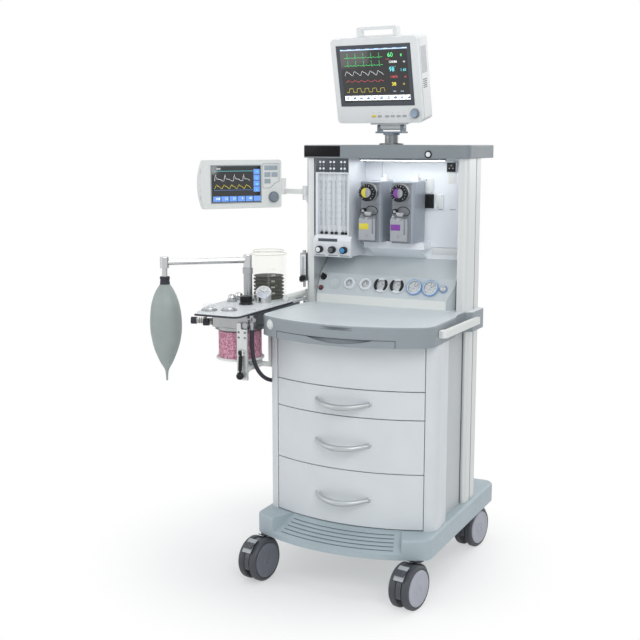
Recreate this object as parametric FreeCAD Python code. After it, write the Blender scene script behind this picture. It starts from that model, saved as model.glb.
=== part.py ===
"""Anesthesia machine on casters: frame, cabinet, gas controls, displays and breathing system.

Millimetres. X runs to the machine's right, Y to its back, Z up, with the floor at Z = 0 and the
machine's plane of symmetry at X = 0. All nodes are moved together at the end, so that the origin
is the middle of the bounding box at floor level, measured without the breathing hose.
"""
import FreeCAD
import Part
import math
import os

V = FreeCAD.Vector
X_AXIS, Y_AXIS, Z_AXIS = V(1, 0, 0), V(0, 1, 0), V(0, 0, 1)

# Fits between pieces
RUN = 0.3            # gap between bodies that move past each other
FIT = 0.05           # radial clearance of a shaft in its bore
SOFT_GAP = 0.3       # a soft piece to its neighbour

# Base
BASE_BOTTOM = 144.0
BASE_HEIGHT = 66.0
BASE_HALF = 306.0
BASE_FRONT = 481.0   # front of the bow, at the middle
BASE_REAR = 275.0
BASE_BOW = 620.0
BASE_CORNER = 36.0
STEP_DEPTH = 88.0    # from the bow back to the drawer fronts
STEP_DROP = 46.0
STEP_HALF_DEG = 21.5
RIB_COUNT = 5
RIB_PITCH = 14.5
RIB_WIDTH = 6.0
RIB_RISE = 2.6
BASE_TOP = BASE_BOTTOM + BASE_HEIGHT

# Casters
WHEEL_R = 70.0
WHEEL_WIDTH = 25.0
WHEEL_GAP = 22.0     # between the two wheels of a caster
TRAIL = 46.0
SWIVEL_DEG = -10.0
STEM_R = 9.0
STEM_LENGTH = 30.0
AXLE_R = 5.0
CASTER_X = BASE_HALF - 40.0
CASTER_FRONT = 79.0 - BASE_FRONT
CASTER_REAR = BASE_REAR - 72.0
STEM_PLATE_R = 22.0
HOOD_HALF = 25.0
BRAKE_LENGTH = 38.0
BRAKE_WIDTH = 34.0
BRAKE_DEG = 112.0    # where the tab's hinge sits round the hub, from the back upwards
BRAKE_PIN_R = 3.0

# Cabinet
CAB_HALF = 258.0     # half width of the drawer fronts
CAB_FRONT = 390.0
CAB_BOW = 632.0
CAB_HEIGHT = 601.0
CAB_TOP = BASE_TOP + CAB_HEIGHT
PILLAR_BACK = -214.0
SIDE_GAP = 3.0       # drawer front to side panel
SIDE_IN = CAB_HALF + SIDE_GAP
PILLAR_X = SIDE_IN + 36.0
SIDE_T = 12.0
CAB_REAR = -30.0
FRONT_T = 18.0
SEAM = 3.0
SEAMS = tuple(BASE_TOP + rise_mm for rise_mm in (2.0, 184.0, 360.0, 451.0))   # heights where the fronts meet
TRAY_HALF = CAB_HALF - 22.0
TRAY_WALL = 5.0
TRAY_REAR = -50.0
RUNNER_H = 15.0
RUNNER_T = 3.0
RUNNER_FRONT = 85.0 - CAB_FRONT
RUNNER_DEPTH = 15.0
HANDLE_HALF = 90.0
HANDLE_BOW = 34.0
HANDLE_R = 6.0
HANDLE_SAG = 9.0     # the bar's middle hangs lower than its ends

# Heights above the cabinet
TOP_T = 65.0
TOP_Z = CAB_TOP + TOP_T
BAY_HEIGHT = 500.0   # work top to top shelf
SHELF_Z = TOP_Z + BAY_HEIGHT

# Tall columns
COL_IN = SIDE_IN
COL_OUT = COL_IN + 31.0
COL_FRONT = -62.0
COL_REAR = 72.0
COL_LOW_FRONT = -24.0
GROOVE_Y = 22.0
GROOVE_W = 8.0
GROOVE_D = 7.0

# Top shelf
SHELF_T = 43.0
SHELF_HALF = COL_OUT + 7.5
SHELF_FRONT = -81.0
SHELF_REAR = 203.0
SHELF_CORNER = 26.0
LAMP_HALF = 150.0
LAMP_X = 162.0
LAMP_Z = SHELF_Z + 13.0
LAMP_R = 8.0
LAMP_TRAVEL = 3.0

# Work top
TOP_FRONT = 472.0
TOP_BOW = 532.0
TOP_REAR = 75.0
TOP_CORNER = 62.0
TOP_SIDE = COL_OUT + 6.0     # half width near the front
TOP_WAIST = COL_OUT - 6.0    # half width at the waist in front of the columns
TOP_LOBE = COL_OUT + 22.0     # half width beside the columns
TRAY_X = (-213.0, 197.0)
TRAY_FRONT_T = 26.0
BAND_HALF = CAB_HALF + 4.0    # half width of the band that the tray's front is cut from
TRAY_FRONT_H = 23.0
TRAY_BOARD_T = 10.0
TRAY_BOARD_Z = CAB_TOP + 7.0
TRAY_BOARD_REAR = -120.0
GRIP_X = 20.0
GRIP_HALF = 112.0
GRIP_DEPTH = 10.0
RAIL_Z = (TOP_Z - 41.0, TOP_Z - 19.0)
FLUSH_R = 12.0
FLUSH_TRAVEL = 5.0

# Instrument bay
WALL_Y = 64.0
WALL_T = 8.0
CONSOLE_X = (2.0 - COL_IN, COL_IN - 18.0)
CONSOLE_CHAMFER = 25.0
CONSOLE_FRONT = -47.0
CONSOLE_LIP = TOP_Z + 30.0
CONSOLE_TOP_Y = -12.0
CONSOLE_TOP_Z = CONSOLE_LIP + 70.0
CONSOLE_BACK_Z = CONSOLE_TOP_Z + 58.0
GAUGES = ((-138.0, 18.0), (-77.5, 19.0), (-19.6, 23.5), (39.3, 23.5), (101.0, 27.0), (158.4, 28.0))
GAUGE_Z = CONSOLE_LIP + 37.5
GAUGE_H = 9.0
LENS_T = 1.6
NEEDLE_T = 0.8
OUTLET_X = 204.0
OUTLET_R = 11.0
OUTLET_BORE = 4.0
OUTLET_DEPTH = 15.0
SELECTOR_X = -243.0
SELECTOR_Z = CONSOLE_LIP + 55.0
SELECTOR_R = 11.5
BUTTON_Z = CONSOLE_LIP + 19.0
BUTTON_R = 6.5

FLOW_X = (-247.0, -122.0)
FLOW_FRONT = -78.0
FLOW_BOTTOM = TOP_Z + 164.0
FLOW_SPLIT = FLOW_BOTTOM + 72.0
FLOW_HEAD = SHELF_Z - 50.0
FLOW_LOW_OUT = 10.0   # how far the knob block stands in front of the tube panel
TUBE_R = 4.6
TUBE_X = (-227.5, -210.0, -189.0, -172.5, -149.0, -135.5)
TUBE_Z = (FLOW_SPLIT + 4.0, FLOW_HEAD - 4.0)
TUBE_RECESS = 13.0
FLOW_KNOB_X = (-224.0, -176.0, -132.5)
FLOW_KNOB_Z = FLOW_BOTTOM + 26.0
FLOW_KNOB_R = 11.5
FLOW_KNOB_L = 20.0

VAP_X = (-51.0, 64.0)
VAP_HALF = 39.0
VAP_FRONT = -58.0
VAP_REAR = 52.0
VAP_Z = (TOP_Z + 218.0, TOP_Z + 422.0)
VAP_RAIL_T = 24.0
DIAL_Z = VAP_Z[1] - 36.0
DIAL_R = 29.0
DIAL_L = 34.0
FILLER_HALF = 30.0
FILLER_OUT = 18.0
FILLER_H = 84.0
FILLER_SIDE = 4.0

# Flow meter on the left column
AUX_OUT = 24.0
AUX_Y = (-60.0, -38.0)
AUX_Z = (TOP_Z + 72.0, TOP_Z + 170.0)

# Monitor
POST_XY = (-26.0, 62.0)
POST_R = 23.0
POST_TOP = SHELF_Z + SHELF_T + 33.0
FLANGE_R = 42.0
FLANGE_T = 6.0
FLANGE_SEAT = 0.5    # the flange is let into the shelf by this much
MON_W = 322.0
MON_H = 284.0
MON_SIDE = 78.0
MON_D = 128.0
MON_PAN = -4.0
MON_TILT = -12.5
HINGE_Z = POST_TOP + 28.0
MON_CENTRE = (-57.0, -4.0, HINGE_Z + 151.0)
HINGE_R = 5.0
EAR_R = 11.0
EAR_OUT = 50.0
HANDLE_W = 150.0
HANDLE_H = 32.0

# Ventilator display and its arm
ARM_XY = (-COL_OUT - 15.0, -30.0)
ARM_Z = TOP_Z + 386.0
ARM_R = 13.0
ARM_H = 32.0
DISP_JOINT = (ARM_XY[0] - 105.0, -9.0)
DISP_PAN = 52.0
DISP_W = 298.0
DISP_H = 166.0
DISP_D = 44.0
DISP_Z = ARM_Z + 22.0
DISP_KNOB_R = 18.0

# Breathing system
PLATE_Z = TOP_Z + 8.0
PLATE_T = 9.0
PLATE_IN = -COL_OUT - 24.0
PLATE_X = (PLATE_IN - 214.0, PLATE_IN)
PLATE_Y = (-500.0, -10.0)
BLOCK_FRONT = -408.0
BLOCK_REAR = -250.0
BLOCK_X = (PLATE_IN - 154.0, PLATE_IN - 18.0)
CHANNEL_X = PLATE_IN - 189.0    # the rear channel's outer side
CHANNEL_REAR = -30.0
PORTS = ((PLATE_IN - 240.0, -372.0), (PLATE_IN - 184.0, -385.0))
PORT_Z = PLATE_Z - 48.0
POST2_XY = (PLATE_IN - 137.0, -191.0)
POST2_R = 15.0
POST2_TOP = PLATE_Z + 162.0
COLLAR_R = 18.0
BAG_ARM_Z = POST2_TOP - 19.0
BAG_ARM_R = 10.5
BAG_XY = (POST2_XY[0] - 216.0, POST2_XY[1] - 188.0)
BAG_R = 54.0
BAG_TOP = BAG_ARM_Z - 74.0
BAG_BOTTOM = BAG_TOP - 334.0
BELLOWS_XY = (PLATE_IN - 109.0, -92.0)
BELLOWS_R = 54.0
BELLOWS_H = 82.0
BELLOWS_FOLDS = 6
DOME_R = 64.0
DOME_H = 168.0
DOME_T = 3.0
APL_XY = (PLATE_IN - 102.0, -266.0)
APL_R = 22.5
APL_H = 30.0
GAUGE_XY = (PLATE_IN - 75.0, -192.0)
GAUGE2_R = 27.0
VALVE_XY = ((PLATE_IN - 184.0, -221.0), (PLATE_IN - 187.0, -168.0), (PLATE_IN - 146.0, -430.0),
            (PLATE_IN - 88.0, -402.0))
VALVE_R = (14.0, 14.0, 20.0, 20.0)
VALVE_H = (26.0, 26.0, 13.0, 13.0)
CAN_XY = (PLATE_IN - 89.0, -330.0)
CAN_R = 75.0
CAN_Z = (PLATE_Z - 164.0, PLATE_Z - 68.0)
CAN_T = 3.0
CAN_FLANGE = 9.0
CLAMP_X = (PLATE_IN - 47.0, PLATE_IN - 10.0)
CLAMP_Y = -424.0
CLAMP_Z = (PLATE_Z - 224.0, PLATE_Z - 58.0)
CLAMP_T = 10.0
ANGLE_Y = (-306.0, -292.0)   # the lower support arm
LEVER_Z = PLATE_Z - 132.0
BALL_Z = LEVER_Z - 76.0
BALL_R = 12.5
HOSE_R = 6.8
HOSE_ROUTE = (
    (-322.0, -395.0, 824.0), (-322.0, -395.5, 796.0), (-321.5, -396.0, 762.0), (-320.0, -391.0, 726.0),
    (-317.0, -376.0, 693.0), (-313.0, -351.0, 665.0), (-309.0, -318.0, 645.0), (-306.0, -281.0, 634.0),
    (-304.5, -244.0, 630.0), (-304.5, -212.0, 630.0))


# ---------------------------------------------------------------- small tools
def box(x0, x1, y0, y1, z0, z1):
    """Block between two corners."""
    return Part.makeBox(x1 - x0, y1 - y0, z1 - z0, V(x0, y0, z0))


def rod(r, start, end):
    """Round bar from one point to another."""
    a, b = V(*start), V(*end)
    return Part.makeCylinder(r, (b - a).Length, a, b - a)


def plan(start, *steps):
    """Flat face at z = 0: a step is a corner (x, y), or ((x, y), (x, y)) for an arc by way of the first."""
    edges, here = [], V(start[0], start[1], 0)
    for step in steps + (start,):
        if isinstance(step[0], tuple):
            mid, end = V(step[0][0], step[0][1], 0), V(step[1][0], step[1][1], 0)
            edges.append(Part.Arc(here, mid, end).toShape())
        else:
            end = V(step[0], step[1], 0)
            if (end - here).Length > 1e-6:
                edges.append(Part.LineSegment(here, end).toShape())
        here = end
    return Part.Face(Part.Wire(edges))


def rise(face, z0, z1):
    """Flat face at z = 0 lifted to z0 and extruded up to z1."""
    return face.translated(V(0, 0, z0)).extrude(V(0, 0, z1 - z0))


def profile_x(points, x0, x1):
    """Outline in (y, z) extruded along X."""
    wire = Part.makePolygon([V(x0, y, z) for y, z in points] + [V(x0, points[0][0], points[0][1])])
    return Part.Face(wire).extrude(V(x1 - x0, 0, 0))


def lathe(points, at=(0, 0, 0), angle=360.0):
    """Outline in (radius, z) turned about the vertical through a point."""
    wire = Part.makePolygon([V(r, 0, z) for r, z in points] + [V(points[0][0], 0, points[0][1])])
    return Part.Face(wire).revolve(V(0, 0, 0), Z_AXIS, angle).translated(V(*at))


def round_edges(solid, radius, keep):
    """Fillet on the edges that a test picks."""
    return solid.makeFillet(radius, [e for e in solid.Edges if keep(e)])


def upright(edge):
    """True for a straight vertical edge."""
    d = edge.Vertexes[-1].Point - edge.Vertexes[0].Point
    return len(edge.Vertexes) == 2 and abs(d.z) > 1 and abs(d.x) + abs(d.y) < 1e-6


def level(edge, z):
    """True for an edge that lies at one height."""
    return edge.BoundBox.ZLength < 1e-6 and abs(edge.BoundBox.ZMin - z) < 1e-3


def mirror(shape):
    """The same shape on the machine's other side."""
    return shape.mirror(V(0, 0, 0), X_AXIS)


def turned(shape, degrees, at=(0, 0), axis=Z_AXIS, height=0.0):
    """Shape turned about an axis through a point."""
    copy = shape.copy()
    copy.rotate(V(at[0], at[1], height), axis, degrees)
    return copy


def aim(shape, start, direction):
    """Shape modelled along +Z from the origin, laid along a direction from a point."""
    copy = shape.copy()
    copy.Placement = FreeCAD.Placement(V(*start), FreeCAD.Rotation(Z_AXIS, V(*direction)))
    return copy


def group(*solids):
    """Separate solids in one node."""
    return Part.makeCompound(list(solids))


def bow_y(x, front, radius):
    """Y of a bowed front at x."""
    return radius - front - math.sqrt(radius * radius - x * x)


def bowed(half, back, front, radius):
    """Plan of a block with a straight back and a bowed front."""
    y = bow_y(half, front, radius)
    return plan((-half, back), (-half, y), ((0, -front), (half, y)), (half, back))


# ---------------------------------------------------------------- base and casters
def base_moulding():
    """Moulded base with a ribbed step between two raised front corners."""
    body = rise(bowed(BASE_HALF, BASE_REAR, BASE_FRONT, BASE_BOW), BASE_BOTTOM, BASE_TOP)
    body = round_edges(body, BASE_CORNER, upright)
    body = round_edges(body, 9.0, lambda e: level(e, BASE_TOP))
    centre = (0, BASE_BOW - BASE_FRONT, 0)
    inner = BASE_BOW - STEP_DEPTH
    outer = BASE_BOW + 30.0
    slope = STEP_DROP / STEP_DEPTH

    def ramp(r):
        return BASE_TOP - 3.0 - (r - inner) * slope

    def sweep(points, half_deg):
        turn = lathe(points, (0, 0, 0), 2 * half_deg)
        turn.rotate(V(0, 0, 0), Z_AXIS, 270 - half_deg)
        return turn.translated(V(*centre))

    body = body.cut(sweep([(inner, ramp(inner)), (outer, ramp(outer)), (outer, BASE_TOP + 20),
                           (inner, BASE_TOP + 20)], STEP_HALF_DEG))
    for i in range(RIB_COUNT):
        a = inner + 9.0 + i * RIB_PITCH
        b = a + RIB_WIDTH
        rib = [(a, ramp(a) - 2), (b, ramp(b) - 2), (b, ramp(b) + RIB_RISE), (a, ramp(a) + RIB_RISE)]
        body = body.fuse(sweep(rib, STEP_HALF_DEG - 2.5))
    body = body.cut(box(-CASTER_X + 50, CASTER_X - 50, CASTER_FRONT + 60, BASE_REAR - 40, BASE_BOTTOM,
                        BASE_BOTTOM + 34))
    for x, y in caster_places():
        body = body.cut(rod(STEM_R + FIT, (x, y, BASE_BOTTOM), (x, y, BASE_BOTTOM + STEM_LENGTH)))
    return body


def caster_places():
    """Stem positions: front left, front right, rear left, rear right."""
    return [(side * CASTER_X, y) for y in (CASTER_FRONT, CASTER_REAR) for side in (-1, 1)]


def caster_local():
    """Fork, wheels and brake of one caster, stem on the Z axis, wheels ahead of it along -Y."""
    y, z = -TRAIL, WHEEL_R
    half = WHEEL_GAP / 2 - 2.0
    web_r = WHEEL_R - 4.0

    def on_web(radius, degrees):
        a = math.radians(degrees)
        return (y + radius * math.cos(a), z + radius * math.sin(a))

    def along_axle(shape):
        turn = FreeCAD.Placement(V(0, 0, 0), FreeCAD.Rotation(Y_AXIS, Z_AXIS, X_AXIS, "ZXY"))
        shape.Placement = turn.multiply(shape.Placement)
        return shape

    web = plan((-8, 132), on_web(web_r, 78), (on_web(web_r, 140), on_web(web_r, 200)), on_web(40, 215),
               (on_web(36, 270), on_web(40, 325)), (9, 104), (8, 132))
    web = along_axle(web.extrude(V(0, 0, 2 * half)).translated(V(0, 0, -half)))
    hood = lathe([(WHEEL_R + 2.5, -HOOD_HALF), (WHEEL_R + 6, -HOOD_HALF), (WHEEL_R + 6, HOOD_HALF),
                  (WHEEL_R + 2.5, HOOD_HALF)], (0, 0, 0), 58)
    hood = turned(along_axle(hood).translated(V(0, y, z)), 10, (0, y), X_AXIS, z)
    plate_z = BASE_BOTTOM - RUN
    stem_top = plate_z + STEM_LENGTH - 1
    top = lathe([(0, 104), (half, 104), (half, plate_z - 5), (STEM_PLATE_R, plate_z - 5),
                 (STEM_PLATE_R, plate_z), (STEM_R, plate_z), (STEM_R, stem_top), (0, stem_top)])
    fork = web.fuse(top).fuse(hood).cut(rod(AXLE_R + FIT, (-60, y, z), (60, y, z)))
    wheels = rod(AXLE_R, (-WHEEL_GAP / 2 - 1, y, z), (WHEEL_GAP / 2 + 1, y, z))
    rim = [(0, 0), (WHEEL_R - 4, 0), (WHEEL_R, 4), (WHEEL_R, WHEEL_WIDTH - 6),
           (WHEEL_R - 5, WHEEL_WIDTH - 1), (WHEEL_R - 10, WHEEL_WIDTH - 1),
           (WHEEL_R - 12, WHEEL_WIDTH - 3), (14, WHEEL_WIDTH), (0, WHEEL_WIDTH)]
    for side in (-1, 1):
        wheels = wheels.fuse(aim(lathe(rim), (side * WHEEL_GAP / 2, y, z), (side, 0, 0)))
    a = math.radians(BRAKE_DEG)
    out, down = (math.cos(a), math.sin(a)), (-math.sin(a), math.cos(a))
    pivot = brake_pivot()
    start = (y + (WHEEL_R + 2) * out[0], z + (WHEEL_R + 2) * out[1])
    corners = [(-4, 0), (BRAKE_LENGTH, 0), (BRAKE_LENGTH, 4), (-4, 4)]
    corners = [(start[0] + p * down[0] + q * out[0], start[1] + p * down[1] + q * out[1]) for p, q in corners]
    tab = profile_x(corners, -BRAKE_WIDTH / 2, BRAKE_WIDTH / 2)
    tab = tab.fuse(rod(BRAKE_PIN_R, (-half, pivot[0], pivot[1]), (half, pivot[0], pivot[1])))
    return fork, wheels, tab


def brake_pivot():
    """(y, z) of the brake tab's hinge in the caster's own frame, just outside the fork's web."""
    a = math.radians(BRAKE_DEG)
    r = WHEEL_R - 4.0 + RUN + BRAKE_PIN_R
    return -TRAIL + r * math.cos(a), WHEEL_R + r * math.sin(a)


def casters(nodes):
    """Four casters: all swivel and roll, and the front pair has a brake tab."""
    fork, wheels, tab = caster_local()
    names = ("front_left", "front_right", "rear_left", "rear_right")
    for name, (x, y) in zip(names, caster_places()):
        for kind, shape in (("caster_fork", fork), ("caster_wheels", wheels), ("caster_brake", tab)):
            if kind == "caster_brake" and y > 0:
                continue
            nodes[kind + "_" + name] = turned(shape, SWIVEL_DEG).translated(V(x, y, 0))


# ---------------------------------------------------------------- cabinet
def front_block(z0, z1, inner_t=FRONT_T, half=CAB_HALF):
    """Bowed front panel between two heights."""
    outer = rise(bowed(half, 0, CAB_FRONT, CAB_BOW), z0, z1)
    inner = rise(bowed(half + 5, 20, CAB_FRONT - inner_t, CAB_BOW - inner_t), z0 - 1, z1 + 1)
    return outer.cut(inner)


def cabinet_shell():
    """Side panels with rounded front pillars, back, floor and the fixed fascia over the drawers."""
    side_in = SIDE_IN
    y_front = bow_y(CAB_HALF, CAB_FRONT, CAB_BOW)
    side = plan((side_in, y_front), ((PILLAR_X - 11, y_front + 11), (PILLAR_X, y_front + 45)),
                (PILLAR_X - 6, PILLAR_BACK), (side_in + SIDE_T + 8, PILLAR_BACK),
                (side_in + SIDE_T + 8, PILLAR_BACK + 8), (side_in + SIDE_T, PILLAR_BACK + 8),
                (side_in + SIDE_T, CAB_REAR), (side_in, CAB_REAR))
    side = rise(side, BASE_TOP, CAB_TOP)
    back = box(-side_in, side_in, CAB_REAR - 8, CAB_REAR, BASE_TOP, CAB_TOP)
    floor = box(-side_in, side_in, y_front + 22, CAB_REAR - 8, BASE_TOP, BASE_TOP + 8)
    fascia = front_block(SEAMS[3] + SEAM / 2, CAB_TOP)
    lug = box(side_in - 22, side_in, y_front + 12, y_front + 32, SEAMS[3] + 20, CAB_TOP - 20)
    fascia = fascia.fuse(lug).fuse(mirror(lug))
    return group(side, mirror(side), back, floor, fascia)


def drawer_levels():
    """Bottom and top of each drawer front: lower, middle, upper."""
    return [(SEAMS[i] + SEAM / 2, SEAMS[i + 1] - SEAM / 2) for i in range(3)]


def runner_z(z0, z1):
    """Height of the runners' lower flange for a drawer front."""
    return z0 + 0.5 * (z1 - z0) - RUNNER_H / 2


def drawer(z0, z1):
    """Bowed front, open tray with side slides, and bow handle."""
    front = front_block(z0, z1)
    y_in = CAB_FRONT - FRONT_T
    tray = rise(bowed(TRAY_HALF, TRAY_REAR, y_in, CAB_BOW - FRONT_T), z0 + 12, z1 - 16)
    hollow = rise(bowed(TRAY_HALF - TRAY_WALL, TRAY_REAR - TRAY_WALL, y_in - TRAY_WALL,
                        CAB_BOW - FRONT_T - TRAY_WALL), z0 + 12 + TRAY_WALL, z1)
    tray = tray.cut(hollow)
    flange = runner_z(z0, z1) + RUNNER_T + RUN
    web = SIDE_IN - RUNNER_T
    slide = box(TRAY_HALF, web - RUN, RUNNER_FRONT + 5, TRAY_REAR, flange, flange + 6)
    tray = tray.fuse(slide).fuse(mirror(slide))
    return group(front, tray, bow_handle(0.5 * (z0 + z1)))


def bow_handle(z):
    """Bowed grip bar that stands off a drawer front."""
    y = bow_y(HANDLE_HALF, CAB_FRONT, CAB_BOW)
    a, b = V(-HANDLE_HALF, y - HANDLE_R, z), V(HANDLE_HALF, y - HANDLE_R, z)
    arc = Part.Arc(a, V(0, -CAB_FRONT - HANDLE_BOW, z - HANDLE_SAG), b)
    line = Part.Wire([arc.toShape()])
    ring = Part.Wire([Part.makeCircle(HANDLE_R, a, arc.tangent(arc.FirstParameter)[0])])
    bar = line.makePipeShell([ring], True, True)
    for x in (-HANDLE_HALF, HANDLE_HALF):
        bar = bar.fuse(Part.makeSphere(HANDLE_R, V(x, y - HANDLE_R, z)))
        bar = bar.fuse(rod(HANDLE_R, (x, y - HANDLE_R, z), (x, y + 1.0, z)))
    return bar.cut(rise(bowed(CAB_HALF, 0, CAB_FRONT, CAB_BOW), z - 4 * HANDLE_R, z + 4 * HANDLE_R))


def drawer_runners():
    """Angle runners on the cabinet sides, one pair for each drawer."""
    rails = []
    back = CAB_REAR - 8
    for z0, z1 in drawer_levels():
        z = runner_z(z0, z1)
        rail = box(SIDE_IN - RUNNER_DEPTH, SIDE_IN, RUNNER_FRONT, back, z, z + RUNNER_T)
        rail = rail.fuse(box(SIDE_IN - RUNNER_T, SIDE_IN, RUNNER_FRONT, back, z, z + RUNNER_H))
        rails += [rail, mirror(rail)]
    return group(*rails)


# ---------------------------------------------------------------- columns, shelf, wall, work top
def column_right():
    """Tall column: deep blade above the work top, narrower below, with a groove down its outer face."""
    def blade(front, z0, z1):
        face = plan((COL_IN, COL_REAR), (COL_IN, front), (COL_OUT - 14, front),
                    ((COL_OUT - 4, front + 4), (COL_OUT, front + 14)), (COL_OUT, GROOVE_Y),
                    (COL_OUT - GROOVE_D, GROOVE_Y), (COL_OUT - GROOVE_D, GROOVE_Y + GROOVE_W),
                    (COL_OUT, GROOVE_Y + GROOVE_W), (COL_OUT, COL_REAR))
        return rise(face, z0, z1)
    return blade(COL_LOW_FRONT, BASE_TOP, CAB_TOP).fuse(blade(COL_FRONT, CAB_TOP, SHELF_Z)).removeSplitter()


def column_left():
    """The mirrored column, with the fixed pivot bracket of the display arm on its outer face."""
    x, y = ARM_XY
    z = ARM_Z - ARM_H / 2 - RUN
    bracket = Part.makeCylinder(ARM_R, 16, V(x, y, z - 16))
    bracket = bracket.fuse(box(x, -COL_OUT, y - ARM_R, y + ARM_R, z - 16, z))
    plate = box(-COL_OUT - 5, -COL_OUT, y - 20, y + 20, z - 24, z)
    bracket = bracket.fuse(plate).fuse(Part.makeCylinder(6, ARM_H - 4, V(x, y, z)))
    return group(mirror(column_right()), bracket)


def top_shelf():
    """Thick shelf with rounded front corners, and the lamp diffuser under it."""
    slab = box(-SHELF_HALF, SHELF_HALF, SHELF_FRONT, SHELF_REAR, SHELF_Z, SHELF_Z + SHELF_T)
    slab = round_edges(slab, SHELF_CORNER, upright)
    slab = round_edges(slab, 4.0, lambda e: level(e, SHELF_Z + SHELF_T))
    seat_z = SHELF_Z + SHELF_T - FLANGE_SEAT
    seat = Part.makeCylinder(FLANGE_R + RUN, SHELF_T, V(POST_XY[0], POST_XY[1], seat_z))
    hole_end = SHELF_FRONT + 11 + LAMP_TRAVEL
    hole = rod(LAMP_R + RUN, (LAMP_X, SHELF_FRONT - 1, LAMP_Z), (LAMP_X, hole_end, LAMP_Z))
    slab = slab.cut(seat).cut(hole)
    lamp = profile_x([(SHELF_FRONT + 34, SHELF_Z), (SHELF_FRONT + 40, SHELF_Z - 8),
                      (SHELF_FRONT + 66, SHELF_Z - 8), (SHELF_FRONT + 72, SHELF_Z)],
                     -LAMP_HALF + 50, LAMP_HALF + 50)
    return group(slab, lamp)


def back_wall():
    """Rear panel of the instrument bay, with sockets and covers standing on it."""
    x0, x1 = -COL_IN, COL_IN
    wall = box(x0, x1, WALL_Y, WALL_Y + WALL_T, CAB_TOP, SHELF_Z)
    socket = box(0, 34, -10, 0, 0, 34)
    cover = box(0, 34, -16, 0, 0, 50)
    meter = box(0, 22, -9, 0, 0, 48)
    upper = box(0, 30, -5, 0, 0, 48)
    low = VAP_Z[0] + 112
    spots = ((socket, 177, SHELF_Z - 48), (cover, 104, low), (meter, 145, low), (upper, 100, low + 52))
    return group(wall, *[s.translated(V(x, WALL_Y, z)) for s, x, z in spots])


def top_side_x(y):
    """X of the work top's straight side at y."""
    return TOP_SIDE - (y + 340.0) * 4.0 / 180.0


def top_outline():
    """Plan of the work top with sharp front corners: bowed front, straight sides, waist and rear lobes."""
    front = (top_side_x(-300), bow_y(top_side_x(-300), TOP_FRONT, TOP_BOW))
    waist, lobe = TOP_WAIST, TOP_LOBE
    right = [front, (top_side_x(-160), -160), ((waist + 0.5, -122), (waist, -84)),
             ((waist + 8, -58), (lobe - 1, -44)),
             (lobe, TOP_REAR - 12), ((lobe - 3.5, TOP_REAR - 3.5), (lobe - 12, TOP_REAR))]
    left = [(-lobe + 12, TOP_REAR), ((-lobe + 3.5, TOP_REAR - 3.5), (-lobe, TOP_REAR - 12)), (-lobe + 1, -44),
            ((-waist - 8, -58), (-waist, -84)), ((-waist - 0.5, -122), (-top_side_x(-160), -160))]
    return plan((-front[0], front[1]), ((0, -TOP_FRONT), front), *(right[1:] + left))


def top_slab():
    """Work top before its cuts, front corners rounded."""
    slab = rise(top_outline(), CAB_TOP, TOP_Z)
    slab = round_edges(slab, TOP_CORNER, lambda e: upright(e) and e.BoundBox.YMax < -300)
    return round_edges(slab, 5.0, lambda e: level(e, TOP_Z) and e.BoundBox.YMax < -150)


def front_band(z0, z1, depth):
    """Band of the work top's bowed front, a given depth thick."""
    outer = rise(bowed(BAND_HALF, 0, TOP_FRONT, TOP_BOW), z0, z1)
    return outer.cut(rise(bowed(BAND_HALF, 0, TOP_FRONT - depth, TOP_BOW - depth), z0 - 1, z1 + 1))


def work_top():
    """Thick moulded work top with a tray slot, a finger groove and holes for columns and flush button."""
    slab = top_slab()
    x0, x1 = TRAY_X
    slot = front_band(CAB_TOP - 1, CAB_TOP + TRAY_FRONT_H + RUN, TRAY_FRONT_T + RUN)
    slot = slot.common(box(x0 - RUN, x1 + RUN, -TOP_FRONT - 5, 0, CAB_TOP - 1, TOP_Z))
    bed = box(x0 + 6, x1 - 6, -TOP_FRONT, TRAY_BOARD_REAR + RUN,
              TRAY_BOARD_Z - RUN, TRAY_BOARD_Z + TRAY_BOARD_T + RUN)
    slab = slab.cut(slot).cut(bed)
    groove_r = (GRIP_HALF ** 2 + 30.0 ** 2) / 60.0
    groove = Part.makeCylinder(groove_r, 9, V(GRIP_X, -TOP_FRONT - groove_r + GRIP_DEPTH, TOP_Z - 15))
    slab = slab.cut(groove)
    for s in (-1, 1):
        a, b = sorted((s * COL_IN, s * COL_OUT))
        slab = slab.cut(box(a, b, COL_FRONT, COL_REAR, CAB_TOP, TOP_Z + 1))
    slab = slab.cut(box(-COL_IN, COL_IN, WALL_Y, WALL_Y + WALL_T, CAB_TOP, TOP_Z + 1))
    p, d = flush_place()
    well = aim(Part.makeCylinder(FLUSH_R + RUN, 20), tuple(p - d * (10 + FLUSH_TRAVEL + 1)), tuple(d))
    return slab.cut(well)


def flush_place():
    """Centre and outward direction of the oxygen flush button on the bowed front."""
    x = -246.0
    y = bow_y(x, TOP_FRONT, TOP_BOW)
    out = V(x, y - (TOP_BOW - TOP_FRONT), 0)
    out.normalize()
    return V(x, y, TOP_Z - 26), out


def flush_button():
    """Round push-button in the work top's front."""
    p, d = flush_place()
    cap = lathe([(0, -10), (FLUSH_R, -10), (FLUSH_R, 4), (FLUSH_R - 2, 6), (0, 6)])
    return aim(cap, tuple(p), tuple(d))


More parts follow.
